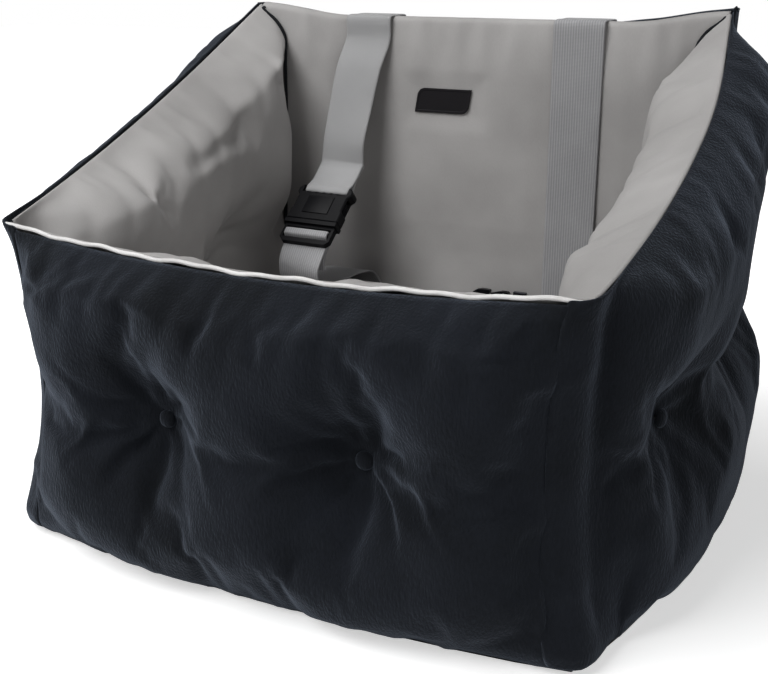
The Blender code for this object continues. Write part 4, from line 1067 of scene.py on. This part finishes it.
def make_webbing(node, name, route, finish, width=webbing_width, thickness=webbing_thickness):
    """Woven strap along a route: a sheet with its width along, thinner at the selvages."""
    stations = [(Vector(spot[:3]), Vector(spot[3:])) for spot in thinned(route)]
    half = width / 2
    spots = []
    length = 0
    lengths = []
    for number, (point, across) in enumerate(stations):
        before = stations[max(number - 1, 0)][0]
        after = stations[min(number + 1, len(stations) - 1)][0]
        forward = (after - before).normalized()
        side = (across - forward * across.dot(forward)).normalized()
        spots.append([point + side * part * width / 2 for part in webbing_columns])
        length += (point - before).length
        lengths.append(length)
    bm = sheet_grid(spots, Vector((0, -1, 0)), (lengths, [part * width / 2 for part in webbing_columns]))
    strap = from_bmesh(name, bm, finish, angle=copy_angle)
    body_group = strap.vertex_groups.new(name="body")
    for vertex in strap.data.vertices:
        off = min(min((point - vertex.co).length for point, _ in stations) / half, 1)
        weight = next(weight for beyond, weight in selvages if off > beyond)
        body_group.add([vertex.index], weight, "REPLACE")
    thick = strap.modifiers.new("thickness", "SOLIDIFY")
    thick.thickness = thickness
    thick.offset = 0
    thick.vertex_group = "body"
    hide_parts(node)
    return strap


def made_final(piece):
    """Make a piece's modifiers part of its mesh."""
    mesh = bpy.data.meshes.new_from_object(piece.evaluated_get(bpy.context.evaluated_depsgraph_get()))
    piece.modifiers.clear()
    piece.data = mesh


def frame_at(columns, origin):
    turned = Matrix(columns).transposed().to_4x4()
    turned.translation = origin
    return turned


def along_buckle(matrix, points, across, side):
    """Points in a buckle's own frame, as spots of a route with the webbing's width across."""
    return [(*(matrix @ Vector((0, y, side * z))), *across) for y, z in points]


def socket_fold(matrix, across, side):
    """Webbing sewn round the socket's bar: its short end, the turn round the bar, then the long run."""
    layer = webbing_thickness / 2 + gap / 2
    clear = webbing_thickness / 2 + gap
    corner = clear * diagonal_share
    middle = socket_length - bar_depth / 2
    high = bar_half_thickness + clear
    back = bar_depth / 2
    spread = layer + bar_half_thickness * fold_spread_share
    end, flat, opening, near = (bar_depth * part for part in fold_shares)
    run = ((sewn_fold + end, layer), (flat, layer), (opening, spread), (near, high), (-back, high),
           (-back - corner, bar_half_thickness + corner), (-back - clear, bar_half_thickness))
    points = [(middle + y, z) for y, z in run] + [(middle + y, -z) for y, z in reversed(run)]
    return along_buckle(matrix, points, across, side)


def plug_fold(matrix, across, side):
    """Webbing in the plug's ladder: under the end bar, up, over the middle bar, down and back under."""
    clear = webbing_thickness / 2 + gap
    corner = clear * diagonal_share
    bar = bar_half_thickness
    high = bar + clear
    back = slot_b_start
    front_edge = slot_a_start - slot_depth
    end = back - slot_depth
    under = high + webbing_thickness + 2 * gap
    far, out, tuck = (slot_depth * part for part in plug_tuck_shares)
    points = ((end - far, -high - gap), (end - gap, -high), (end + corner, -bar - corner),
              (end + clear, -bar), (back - clear, bar), (back - corner, bar + corner), (back, high),
              (front_edge, high), (front_edge + corner, bar + corner), (front_edge + clear, bar),
              (front_edge + clear, -bar - clear), (front_edge, -under),
              (front_edge - out, -under - clear / 2), (end - tuck, -under - clear / 2))
    return along_buckle(matrix, points, across, side)


def over_the_top(x):
    """Webbing over the piping and the back panel's top edge, from the front run to the rear run."""
    top = panel_top(x)
    clear = webbing_thickness / 2 + gap
    pipe_y = panel_y - piping_diameter / 2 - gap
    pipe_z = top - piping_diameter / 2 - gap
    around = piping_diameter / 2 + clear + gap
    across = around * diagonal_share
    edge = clear + gap / 2
    slant = edge * diagonal_share
    knots = ((strap_face_y, top - strap_lead), (strap_face_y, top - strap_turn), (pipe_y - around, pipe_z),
             (pipe_y - across, pipe_z + across), (pipe_y, pipe_z + around),
             (panel_y + panel_thickness / 2, top + clear), (panel_back_y - gap, top + edge),
             (panel_back_y + slant, top + slant), (panel_back_y + edge, top),
             (strap_rear_y, top - strap_turn), (strap_rear_y, top - strap_lead))
    return [(x, y, z, 1, 0, 0) for y, z in knots]


def notch_run(x, start_y, way, turns, end_y):
    """Webbing down a face of the panel and into the notch under it."""
    knots = [(start_y, crack_high), (start_y, crack_low)]
    for along, up in turns:
        knots.append((start_y + way * notch_height * along, notch_level + notch_height * up))
    knots.append((end_y, notch_level))
    return [(x, y, z, 1, 0, 0) for y, z in knots]


def notch_from_front(x, face_y):
    return notch_run(x, face_y, 1, front_notch_turn_shares, notch_meeting_y - gap / 2)


def notch_from_rear(x):
    run = notch_run(x, strap_rear_y, -1, rear_notch_turn_shares, notch_meeting_y + gap / 2)
    return [(x, y + gap * (number < 2), *rest) for number, (x, y, *rest) in enumerate(run)]


def slack_points(spots, level):
    return [(left_strap_x + shift, panel_y - forward, level + up, *across) for shift, forward, up, across in spots]


def left_buckle_matrix():
    way = Vector(left_buckle_way).normalized()
    width_way = Vector(left_buckle_width_way)
    width_way = (width_way - way * width_way.dot(way)).normalized()
    origin = Vector((left_strap_x + left_buckle_shift, panel_y - left_buckle_forward,
                     cushion_seam_z + left_buckle_rise))
    return frame_at((width_way, way, width_way.cross(way)), origin)


def right_buckle_matrix():
    buckle_y = panel_back_y + gap + buckle_half_thickness
    return frame_at((Vector((-1, 0, 0)), Vector((0, 0, 1)), Vector((0, 1, 0))),
                    Vector((right_strap_x, buckle_y, back_height - right_buckle_drop)))


def make_left_loop():
    matrix = left_buckle_matrix()
    across = tuple(matrix.col[0][:3])
    fold = smooth_route(socket_fold(matrix, across, -1), fold_steps)
    knots = [fold[-1]] + slack_points(hanging_spots, back_height)
    knots += over_the_top(left_strap_x) + notch_from_rear(left_strap_x)
    route = fold[:-1] + smooth_route(knots, left_long_steps)
    long = make_webbing("left_long_webbing", "left_strap_long", route, satin_webbing)
    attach(long, "seat")
    tail = slack_points([(*spot, across) for spot in tail_spots], cushion_seam_z)
    knots = notch_from_front(left_strap_x, strap_face_y)[::-1] + slack_points(cushion_spots, cushion_seam_z)
    knots += plug_fold(matrix, across, 1) + tail
    route = smooth_route(knots, short_steps)
    short = make_webbing("left_short_webbing", "left_strap_short", route, ribbed_webbing)
    made_final(short)
    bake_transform(short)
    make_stitching("left_fold_stitches", matrix, -1)


def make_right_loop():
    x = right_strap_x
    across = (1, 0, 0)
    matrix = right_buckle_matrix()
    buckle_y = matrix.translation.y
    buckle_z = matrix.translation.z
    over_tether = strap_face_y - tether_thickness - gap
    leaning_y = strap_rear_y + webbing_thickness * strap_lean_share
    fold_top = buckle_z + socket_length + sewn_fold
    knots = notch_from_front(x, over_tether)[::-1]
    knots += [(x, over_tether, tether_centre_z + tether_width * over_tether_share, *across),
              (x, strap_face_y, tether_centre_z + tether_width * past_tether_share, *across)]
    knots += over_the_top(x)
    knots += [(x, strap_rear_y + gap, fold_top + strap_lead * 2, *across),
              (x, leaning_y, fold_top + strap_lead, *across)]
    knots += socket_fold(matrix, across, 1)
    route = smooth_route(knots, right_long_steps)
    long = make_webbing("right_long_webbing", "right_strap_long", route, ribbed_webbing)
    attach(long, "seat")
    outer_y = buckle_y + bar_half_thickness + webbing_thickness / 2 + gap
    plug_end = buckle_z - plug_length
    tail_y = outer_y + webbing_thickness + tail_gaps * gap
    knots = notch_from_rear(x)[::-1]
    knots += [(x, leaning_y, plug_end - strap_lead * 2, *across), (x, outer_y, plug_end - strap_lead, *across)]
    knots += plug_fold(matrix, across, -1)
    knots += [(x, tail_y, plug_end - right_tail / 2, *across),
              (x, tail_y - webbing_thickness / 2, plug_end - right_tail, *across)]
    route = smooth_route(knots, short_steps)
    short = make_webbing("right_short_webbing", "right_strap_short", route, ribbed_webbing)
    made_final(short)
    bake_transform(short)
    make_stitching("right_fold_stitches", matrix, 1)


def make_stitching(name, matrix, side):
    """Two rows of thread that hold the sewn fold above the socket, shown on its outer layer."""
    bm = bmesh.new()
    level = side * (webbing_thickness * outer_layer_share + gap + stitch_standoff)
    base = socket_length - bar_depth / 2 + sewn_fold + bar_depth * fold_shares[0]
    for row in stitch_rows:
        for number in range(stitch_count):
            x = (number - (stitch_count - 1) / 2) * stitch_pitch
            bead(bm, stitch_segments, (x, base - row, level), stitch_size, matrix)
    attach(from_bmesh(name, bm, thread), "seat")


def bead(bm, segments, spot, size, matrix=Matrix.Identity(4)):
    """A small ball stretched to a size, at a spot in the frame of a matrix."""
    around, up = segments
    made = bmesh.ops.create_uvsphere(bm, u_segments=around, v_segments=up, radius=1)
    place = matrix @ Matrix.Translation(spot) @ Matrix.Diagonal(size)
    bmesh.ops.transform(bm, matrix=place, verts=made["verts"])


def make_tether_strap():
    hook_y = panel_y - hook_axis_y_inset
    against_panel = panel_y - panel_crown - gap - tether_thickness / 2
    bar_x = eye_start_x + eye_length - eye_bar / 2
    clear = tether_thickness / 2 + gap
    turn_x = bar_x - eye_bar / 2 - clear
    thick = eye_half_thickness + clear
    corner = clear * (1 - diagonal_share)
    knots = []
    for part in tether_run_shares:
        knots.append((tether_start_x + (tether_settle_x - tether_start_x) * part, against_panel))
    knots += [(bar_x + eye_length / 2, hook_y + thick + gap), (bar_x - eye_bar / 2, hook_y + thick),
              (turn_x + corner, hook_y + thick - corner), (turn_x, hook_y + eye_half_thickness),
              (turn_x, hook_y - eye_half_thickness), (turn_x + corner, hook_y - thick + corner),
              (bar_x - eye_bar / 2, hook_y - thick), (bar_x + eye_length * tether_end_share, hook_y - thick)]
    route = smooth_route([(x, y, tether_centre_z, 0, 0, 1) for x, y in knots], short_steps)
    strap = make_webbing("tether_webbing", "tether_strap", route, black_webbing, tether_width, tether_thickness)
    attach(strap, "seat")


# Cushion and base

def seat_plan(low_z, high_z, clearance):
    """Map from across and along, each -1 to 1, to a point of the room left between the walls."""
    levels = [low_z + (high_z - low_z) * step / plan_levels - floor_z for step in range(plan_levels + 1)]
    back_y = panel_y - cushion_back_clearance

    def side_limit(y):
        run = min(max(y - right.start.y, 0), right.length)
        return min(right.point(run, level, -right.inner(run, level)).x for level in levels)

    def front_limit(x):
        run = x - front.start.x
        return max(front.point(run, level, -front.inner(run, level)).y for level in levels)
    front_mid = front_limit(0) + clearance

    def point(across, along):
        y_share = (along + 1) / 2
        half = side_limit(front_mid + (back_y - front_mid) * y_share) - clearance
        x = half * across * (1 - cushion_corner_share * along ** 4)
        start = front_limit(x) + clearance
        start += max(front_mid - start, 0) * cushion_front_flat_share
        return x, start + (back_y - start) * y_share
    return point


def make_cushion():
    """The loose cushion's two skins, sewn together round their edge, and their filling."""
    plan = seat_plan(block_low, cushion_seam_z + cushion_top_bulge, cushion_clearance)
    half = plan(1, 0)[0]
    half_depth = (plan(0, 1)[1] - plan(0, -1)[1]) / 2

    def bulge(x_run, y_run, full, crown):
        near = rise(min(x_run, 2 * half - x_run), cushion_allowance, cushion_edge_reach)
        near *= rise(min(y_run, 2 * half_depth - y_run), cushion_allowance, cushion_edge_reach)
        dome = (1 - (x_run / half - 1) ** 2) * (1 - (y_run / half_depth - 1) ** 2)
        return seam_half + full * near * (1 - crown + crown * dome)
    for side, full, crown, sign in (("top", cushion_top_bulge, cushion_crown_share, 1),
                                    ("bottom", cushion_bottom_bulge, 0, -1)):
        spots = []
        for x_run in evenly(0, 2 * half, cushion_cell):
            column = []
            for y_run in evenly(0, 2 * half_depth, cushion_cell):
                x, y = plan(x_run / half - 1, y_run / half_depth - 1)
                out = bulge(x_run, y_run, full, crown) - cushion_seam_inset
                column.append(Vector((x, y, cushion_seam_z + sign * out)))
            spots.append(column)
        skin = from_bmesh(f"cushion_{side}_skin", sheet_grid(spots, Vector((0, 0, sign))), velvet, angle=cloth_angle)
        edges = border_of(spots)
        border = {key(spot) for spot in edges}

        def is_held(place):
            return (sign < 0 and place.z < cushion_seam_z - full * cushion_held_share) or key(place) in border
        settle(skin, is_held, edges, *cushion_settling)
        finish_skin(skin, f"cushion_{side}_cover")
    stuffing = rounded_copy("cushion_filling", "cushion_stuffing", fibre, 1, cushion_stuffing_push)


def make_buckle_details(name, matrix, plug_body):
    """Raised plate and grip ridges on the socket's face, and ridges on each squeeze arm's pad."""
    bm = bmesh.new()
    plate = bmesh.ops.create_cube(bm, size=1)
    shape = Matrix.Translation((0, plate_middle, buckle_half_thickness + plate_standoff)) @ Matrix.Diagonal(plate_size)
    bmesh.ops.transform(bm, matrix=shape, verts=plate["verts"])
    bmesh.ops.bevel(bm, geom=bm.edges[:], offset=plate_bevel, segments=2, profile=0.5, affect="EDGES", material=-1)
    for number in range(ridge_count):
        across = (number - (ridge_count - 1) / 2) * ridge_pitch
        bead(bm, ridge_segments, (across, ridge_along, buckle_half_thickness), ridge_size)
    bmesh.ops.transform(bm, matrix=matrix, verts=bm.verts[:])
    face = from_bmesh(f"{name}_face_plate", bm, plastic)
    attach(face, "seat")
    for hand, sign in (("left", -1), ("right", 1)):
        bm = bmesh.new()
        for number in range(ridge_count):
            bead(bm, grip_segments, (sign * grip_x, grip_start + number * grip_pitch, 0), grip_size)
        bmesh.ops.transform(bm, matrix=matrix, verts=bm.verts[:])
        grip = from_bmesh(f"{name}_{hand}_arm_grip", bm, plastic)
        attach(grip, f"{plug_body}_{hand}_arm")


# Finishes

def fill(tree, made, sockets):
    """Set a node's sockets, or link them where another node's socket is given."""
    for name, value in sockets.items():
        if isinstance(value, bpy.types.NodeSocket):
            tree.links.new(value, made.inputs[name])
        else:
            made.inputs[name].default_value = value


def add_node(tree, kind, sockets, **settings):
    made = tree.nodes.new(f"ShaderNode{kind}")
    for name, value in settings.items():
        setattr(made, name, value)
    fill(tree, made, sockets)
    return made.outputs


def math_node(tree, operation, first, second, clamp=False):
    return add_node(tree, "Math", {0: first, 1: second}, operation=operation, use_clamp=clamp)["Value"]


def blended_colour(tree, part, dark, light):
    return add_node(tree, "Mix", {0: part, 6: dark, 7: light}, data_type="RGBA")[2]


def object_place(tree):
    return add_node(tree, "TexCoord", {})["Object"]


def node_group(name, values, outputs):
    """An effect for several materials: from two colours and named values to a colour and values."""
    group = bpy.data.node_groups.new(name, "ShaderNodeTree")
    for label, default in (("Dark", (0, 0, 0, 1)), ("Light", white)):
        socket = group.interface.new_socket(label, in_out="INPUT", socket_type="NodeSocketColor")
        socket.default_value = default
    for label, default in values.items():
        socket = group.interface.new_socket(label, in_out="INPUT", socket_type="NodeSocketFloat")
        socket.default_value = default
    group.interface.new_socket("Color", in_out="OUTPUT", socket_type="NodeSocketColor")
    for label in outputs:
        group.interface.new_socket(label, in_out="OUTPUT", socket_type="NodeSocketFloat")
    return group, group.nodes.new("NodeGroupInput").outputs, group.nodes.new("NodeGroupOutput")


def make_nap_group():
    """Soft uneven shade of a napped cloth: broad strokes where the pile lies another way, and fine grain."""
    group, given, leave = node_group("nap_mottle", {"Broad Scale": 9.0, "Fine Scale": 700.0, "Grain": 0.25},
                                     ["Height"])
    place = object_place(group)
    broad = add_node(group, "TexNoise", {"Vector": place, "Scale": given["Broad Scale"], "Detail": 3})["Fac"]
    pile = add_node(group, "Mapping", {"Vector": place, "Scale": (1, 1, 0.35)})["Vector"]
    fine = add_node(group, "TexNoise", {"Vector": pile, "Scale": given["Fine Scale"], "Detail": 2})["Fac"]
    grain = math_node(group, "MULTIPLY", math_node(group, "SUBTRACT", fine, 0.5), given["Grain"])
    spread = add_node(group, "MapRange", {"Value": broad, "From Min": 0.32, "From Max": 0.68})["Result"]
    total = math_node(group, "ADD", spread, grain, clamp=True)
    fill(group, leave, {"Color": blended_colour(group, total, given["Dark"], given["Light"]), "Height": fine})
    return group


def make_weave_group():
    """Woven strap from its UV map in metres: ribs along it, picks across it, both as a height."""
    group, given, leave = node_group("strap_weave", {"Rib Scale": 160.0, "Pick Scale": 260.0, "Rib Share": 0.7},
                                     ["Height"])
    place = add_node(group, "UVMap", {}, uv_map="cloth")["UV"]
    ribs, picks = (add_node(group, "TexWave", {"Vector": place, "Scale": given[scale], "Distortion": 0},
                            wave_type="BANDS", bands_direction=way, wave_profile="SIN")["Fac"]
                   for scale, way in (("Rib Scale", "Y"), ("Pick Scale", "X")))
    rib_part = math_node(group, "MULTIPLY", ribs, given["Rib Share"])
    pick_part = math_node(group, "MULTIPLY", picks, math_node(group, "SUBTRACT", 1.0, given["Rib Share"]))
    height = math_node(group, "ADD", rib_part, pick_part)
    tone = add_node(group, "TexNoise", {"Vector": place, "Scale": 35, "Detail": 2})["Fac"]
    uneven = math_node(group, "MULTIPLY", math_node(group, "SUBTRACT", tone, 0.5), 0.5)
    total = math_node(group, "ADD", height, uneven, clamp=True)
    fill(group, leave, {"Color": blended_colour(group, total, given["Dark"], given["Light"]), "Height": height})
    return group


def make_grain_group():
    """Moulded or coated skin: fine grain as a height, and broad patches in its tone and gloss."""
    group, given, leave = node_group("moulded_grain", {"Scale": 900.0, "Least Roughness": 0.4,
                                                       "Most Roughness": 0.5}, ["Height", "Roughness"])
    place = object_place(group)
    grain = add_node(group, "TexNoise", {"Vector": place, "Scale": given["Scale"]})["Fac"]
    broad = add_node(group, "TexNoise", {"Vector": place, "Scale": 60, "Detail": 3})["Fac"]
    gloss = add_node(group, "MapRange", {"Value": broad, "To Min": given["Least Roughness"],
                                         "To Max": given["Most Roughness"]})["Result"]
    fill(group, leave, {"Color": blended_colour(group, broad, given["Dark"], given["Light"]), "Height": grain,
                        "Roughness": gloss})
    return group


def colour(text):
    """A linear colour from its usual six-figure form."""
    parts = [int(text[place:place + 2], 16) / 255 for place in (0, 2, 4)]
    return tuple(part / 12.92 if part <= 0.04045 else ((part + 0.055) / 1.055) ** 2.4 for part in parts) + (1,)


def base_material(name):
    made = bpy.data.materials.new(name)
    made.use_nodes = True
    return made, made.node_tree, made.node_tree.nodes["Principled BSDF"]


def surface(name, group, dark, light, values, bump, bump_depth, shading):
    """A material with the colour and bump of a group, and its roughness where it has one."""
    made, tree, shader = base_material(name)
    outputs = add_node(tree, "Group", {"Dark": colour(dark), "Light": colour(light), **values}, node_tree=group)
    raised = add_node(tree, "Bump", {"Strength": bump, "Distance": bump_depth, "Height": outputs["Height"]})
    fill(tree, shader, {"Base Color": outputs["Color"], "Normal": raised["Normal"], **shading})
    if "Roughness" in outputs:
        fill(tree, shader, {"Roughness": outputs["Roughness"]})
    return made


def napped(name, dark, light, broad, fine, grain, roughness, sheen, sheen_tint, bump, bump_depth):
    """A napped cloth: short pile with a soft sheen."""
    return surface(name, nap, dark, light, {"Broad Scale": broad, "Fine Scale": fine, "Grain": grain}, bump,
                   bump_depth, {"Roughness": roughness, "Sheen Weight": sheen, "Sheen Roughness": 0.45,
                                "Sheen Tint": colour(sheen_tint), "Specular IOR Level": 0.15})


def woven(name, dark, light, ribs, picks, rib_share, bump, sheen):
    return surface(name, weave, dark, light, {"Rib Scale": ribs, "Pick Scale": picks, "Rib Share": rib_share},
                   bump, 0.0004, {"Roughness": 0.62, "Sheen Weight": sheen, "Sheen Roughness": 0.4,
                                  "Specular IOR Level": 0.3})


def grained(name, dark, light, scale, roughness, spread, metallic, bump, bump_depth, gloss_level):
    """Moulded plastic, rubber or coated metal."""
    values = {"Scale": scale, "Least Roughness": roughness - spread, "Most Roughness": roughness + spread}
    return surface(name, moulded, dark, light, values, bump, bump_depth,
                   {"Metallic": metallic, "Specular IOR Level": gloss_level})


def dotted(made, scale):
    """Raise a grained material in dots instead of grain."""
    tree = made.node_tree
    dots = add_node(tree, "TexVoronoi", {"Vector": object_place(tree), "Scale": scale})["Distance"]
    fill(tree, tree.nodes["Bump"], {"Height": dots})
    return made


nap = make_nap_group()
weave = make_weave_group()
moulded = make_grain_group()
plush = napped("plush_pile", "05070a", "15181e", 9, 560, 1.0, 0.95, 0.95, "69717e", 0.7, 0.0013)
velvet = napped("velvet_pile", "9a9897", "adabaa", 9, 900, 0.30, 0.9, 0.12, "ffffff", 0.25, 0.0005)
# Velvet for the front rim's turned edge: a paler copy of the velvet, its pale colour a painted highlight
velvet_edge = napped("velvet_edge", "d2d0cf", "ecebea", 30, 900, 0.3, 0.9, 0.4, "ffffff", 0.3, 0.0004)
fibre = napped("fibre_wadding", "d8d8d4", "f0f0ee", 30, 300, 0.5, 0.95, 0.2, "ffffff", 0.6, 0.002)
piping_cloth = napped("piping_cloth", "0c0d10", "16181c", 60, 1200, 0.4, 0.85, 0.1, "5a6470", 0.3, 0.0003)
foam = napped("foam_cells", "8f8a78", "a8a290", 60, 800, 0.8, 0.95, 0.0, "ffffff", 0.8, 0.0008)
board = napped("pressed_board", "5b4a36", "7a6549", 40, 900, 0.7, 0.8, 0.0, "ffffff", 0.3, 0.0004)
thread = napped("sewing_thread", "5d5e60", "77787a", 90, 2500, 0.5, 0.7, 0.1, "ffffff", 0.4, 0.0002)
ribbed_webbing = woven("ribbed_webbing", "838385", "a2a2a4", 125, 260, 0.7, 0.55, 0.12)
satin_webbing = woven("satin_webbing", "929293", "9f9fa0", 420, 520, 0.5, 0.25, 0.15)
black_webbing = woven("black_webbing", "0b0b0d", "1a1b1e", 160, 300, 0.7, 0.8, 0.05)
plastic = grained("moulded_plastic", "040406", "08080b", 900, 0.46, 0.06, 0, 0.15, 0.0002, 0.09)
label_finish = grained("label_rubber", "131214", "1a181b", 1400, 0.6, 0.05, 0, 0.3, 0.0002, 0.12)
metal = grained("black_metal", "121316", "1c1d21", 700, 0.34, 0.08, 0.85, 0.08, 0.0001, 0.5)
steel = grained("pin_steel", "6c6e72", "8b8d91", 800, 0.3, 0.08, 1.0, 0.05, 0.0001, 0.5)
non_slip = dotted(grained("dotted_rubber", "101114", "1b1d20", 210, 0.75, 0.08, 0, 0.8, 0.0010, 0.3), 210)


def make_stage():
    """A pale floor that glows up to the white background, so that only the object's shadow shows on it."""
    bm = bmesh.new()
    bmesh.ops.create_grid(bm, x_segments=1, y_segments=1, size=floor_size)
    made, tree, shader = base_material("pale_floor")
    fill(tree, shader, {"Base Color": (0.86, 0.86, 0.86, 1), "Roughness": 0.9})
    floor = from_bmesh("floor", bm, made, smooth=False)
    floor.location.z = -floor_drop
    away = add_node(tree, "VectorMath", {0: object_place(tree)}, operation="LENGTH")["Value"]
    fade = add_node(tree, "MapRange", {"Value": away, "From Min": 0.35, "From Max": 0.85, "To Min": 0.55,
                                       "To Max": 1.0}, interpolation_type="SMOOTHSTEP")["Result"]
    glow = add_node(tree, "Emission", {"Strength": fade})[0]
    lit = shader.outputs[0]
    both = add_node(tree, "AddShader", {0: lit, 1: glow})[0]
    seen = add_node(tree, "LightPath", {})["Is Camera Ray"]
    mix = add_node(tree, "MixShader", {"Fac": seen, 1: lit, 2: both})[0]
    fill(tree, tree.nodes["Material Output"], {"Surface": mix})
    world = bpy.data.worlds.new("studio")
    bpy.context.scene.world = world
    world.use_nodes = True
    tree = world.node_tree
    ground = tree.nodes["Background"]
    fill(tree, ground, {"Strength": 0.74})
    bright = add_node(tree, "Background", {"Color": white, "Strength": 1.0})[0]
    path = add_node(tree, "LightPath", {})
    seen = math_node(tree, "MAXIMUM", path["Is Camera Ray"], path["Is Glossy Ray"])
    mix = add_node(tree, "MixShader", {"Fac": seen, 1: ground.outputs[0], 2: bright})[0]
    fill(tree, tree.nodes["World Output"], {"Surface": mix})


def soft_lamp(name, place, size, power):
    data = bpy.data.lights.new(name, "AREA")
    data.shape = "DISK"
    data.size = size
    data.energy = power
    lamp = link(name, data)
    lamp.location = place
    lamp.rotation_euler = (lamp_target - Vector(place)).to_track_quat("-Z", "Y").to_euler()


def make_camera():
    data = bpy.data.cameras.new("camera")
    data.sensor_width = camera_sensor
    data.lens = camera_lens
    data.shift_x, data.shift_y = camera_shift
    camera = link("camera", data)
    camera.matrix_world = frame_at((camera_right, camera_up, camera_right.cross(camera_up)), camera_place)
    bpy.context.scene.camera = camera


def dress(node, finish):
    """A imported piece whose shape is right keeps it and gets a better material."""
    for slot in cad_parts[node].material_slots:
        slot.material = finish


make_camera()
make_stage()
soft_lamp("key", (-0.95, -1.7, 2.4), 2.2, 66)
soft_lamp("top", (-0.7, -0.3, 2.3), 1.6, 16)
soft_lamp("fill", (2.0, -1.2, 1.0), 1.8, 11)

front, left, right = make_walls()
for wall in (front, left, right):
    make_stuffing(wall, {1: make_skin(wall, True), -1: make_skin(wall, False)})
    for number in (1, 2):
        for side, cloth in (("outer", plush), ("inner", velvet)):
            rounded_copy(f"{wall.name}_tuft_{number}_{side}_button", f"{wall.name}_{side}_button_{number}", cloth, 2)
        rounded_copy(f"{wall.name}_tuft_{number}_cord", f"{wall.name}_tuft_cord_{number}", thread, 1)

make_rim_lip()
make_panel_front()
make_panel_back()
make_piping(right)
make_label()
core = rounded_copy("back_panel_core", "panel_foam_core", foam, 1)
for vertex in core.data.vertices:
    vertex.co = pulled_in(vertex.co)
make_left_loop()
make_right_loop()
make_tether_strap()
make_cushion()
block = bevelled_copy("foam_block", "seat_foam_block", foam, 0.004, 3)
bevelled_copy("base_board", "stiff_base_board", board, 0.0006, 2)
bottom = bevelled_copy("non_slip_bottom", "non_slip_bottom_cloth", non_slip, 0.0008, 2)
for vertex in bottom.data.vertices:
    vertex.co.x *= bottom_draw_share
    vertex.co.y = front_y + (vertex.co.y - front_y) * bottom_draw_share + bottom_shift
for hand, matrix in (("left", left_buckle_matrix()), ("right", right_buckle_matrix())):
    make_buckle_details(f"{hand}_buckle", matrix, f"{hand}_plug")
    for part in ("socket", "plug", "left_arm", "right_arm"):
        dress(f"{hand}_buckle_{part}", plastic)
for part in ("eye", "hook", "gate"):
    dress(f"tether_{part}", metal)
dress("tether_gate_pin", steel)

bpy.context.scene.view_settings.view_transform = "Standard"
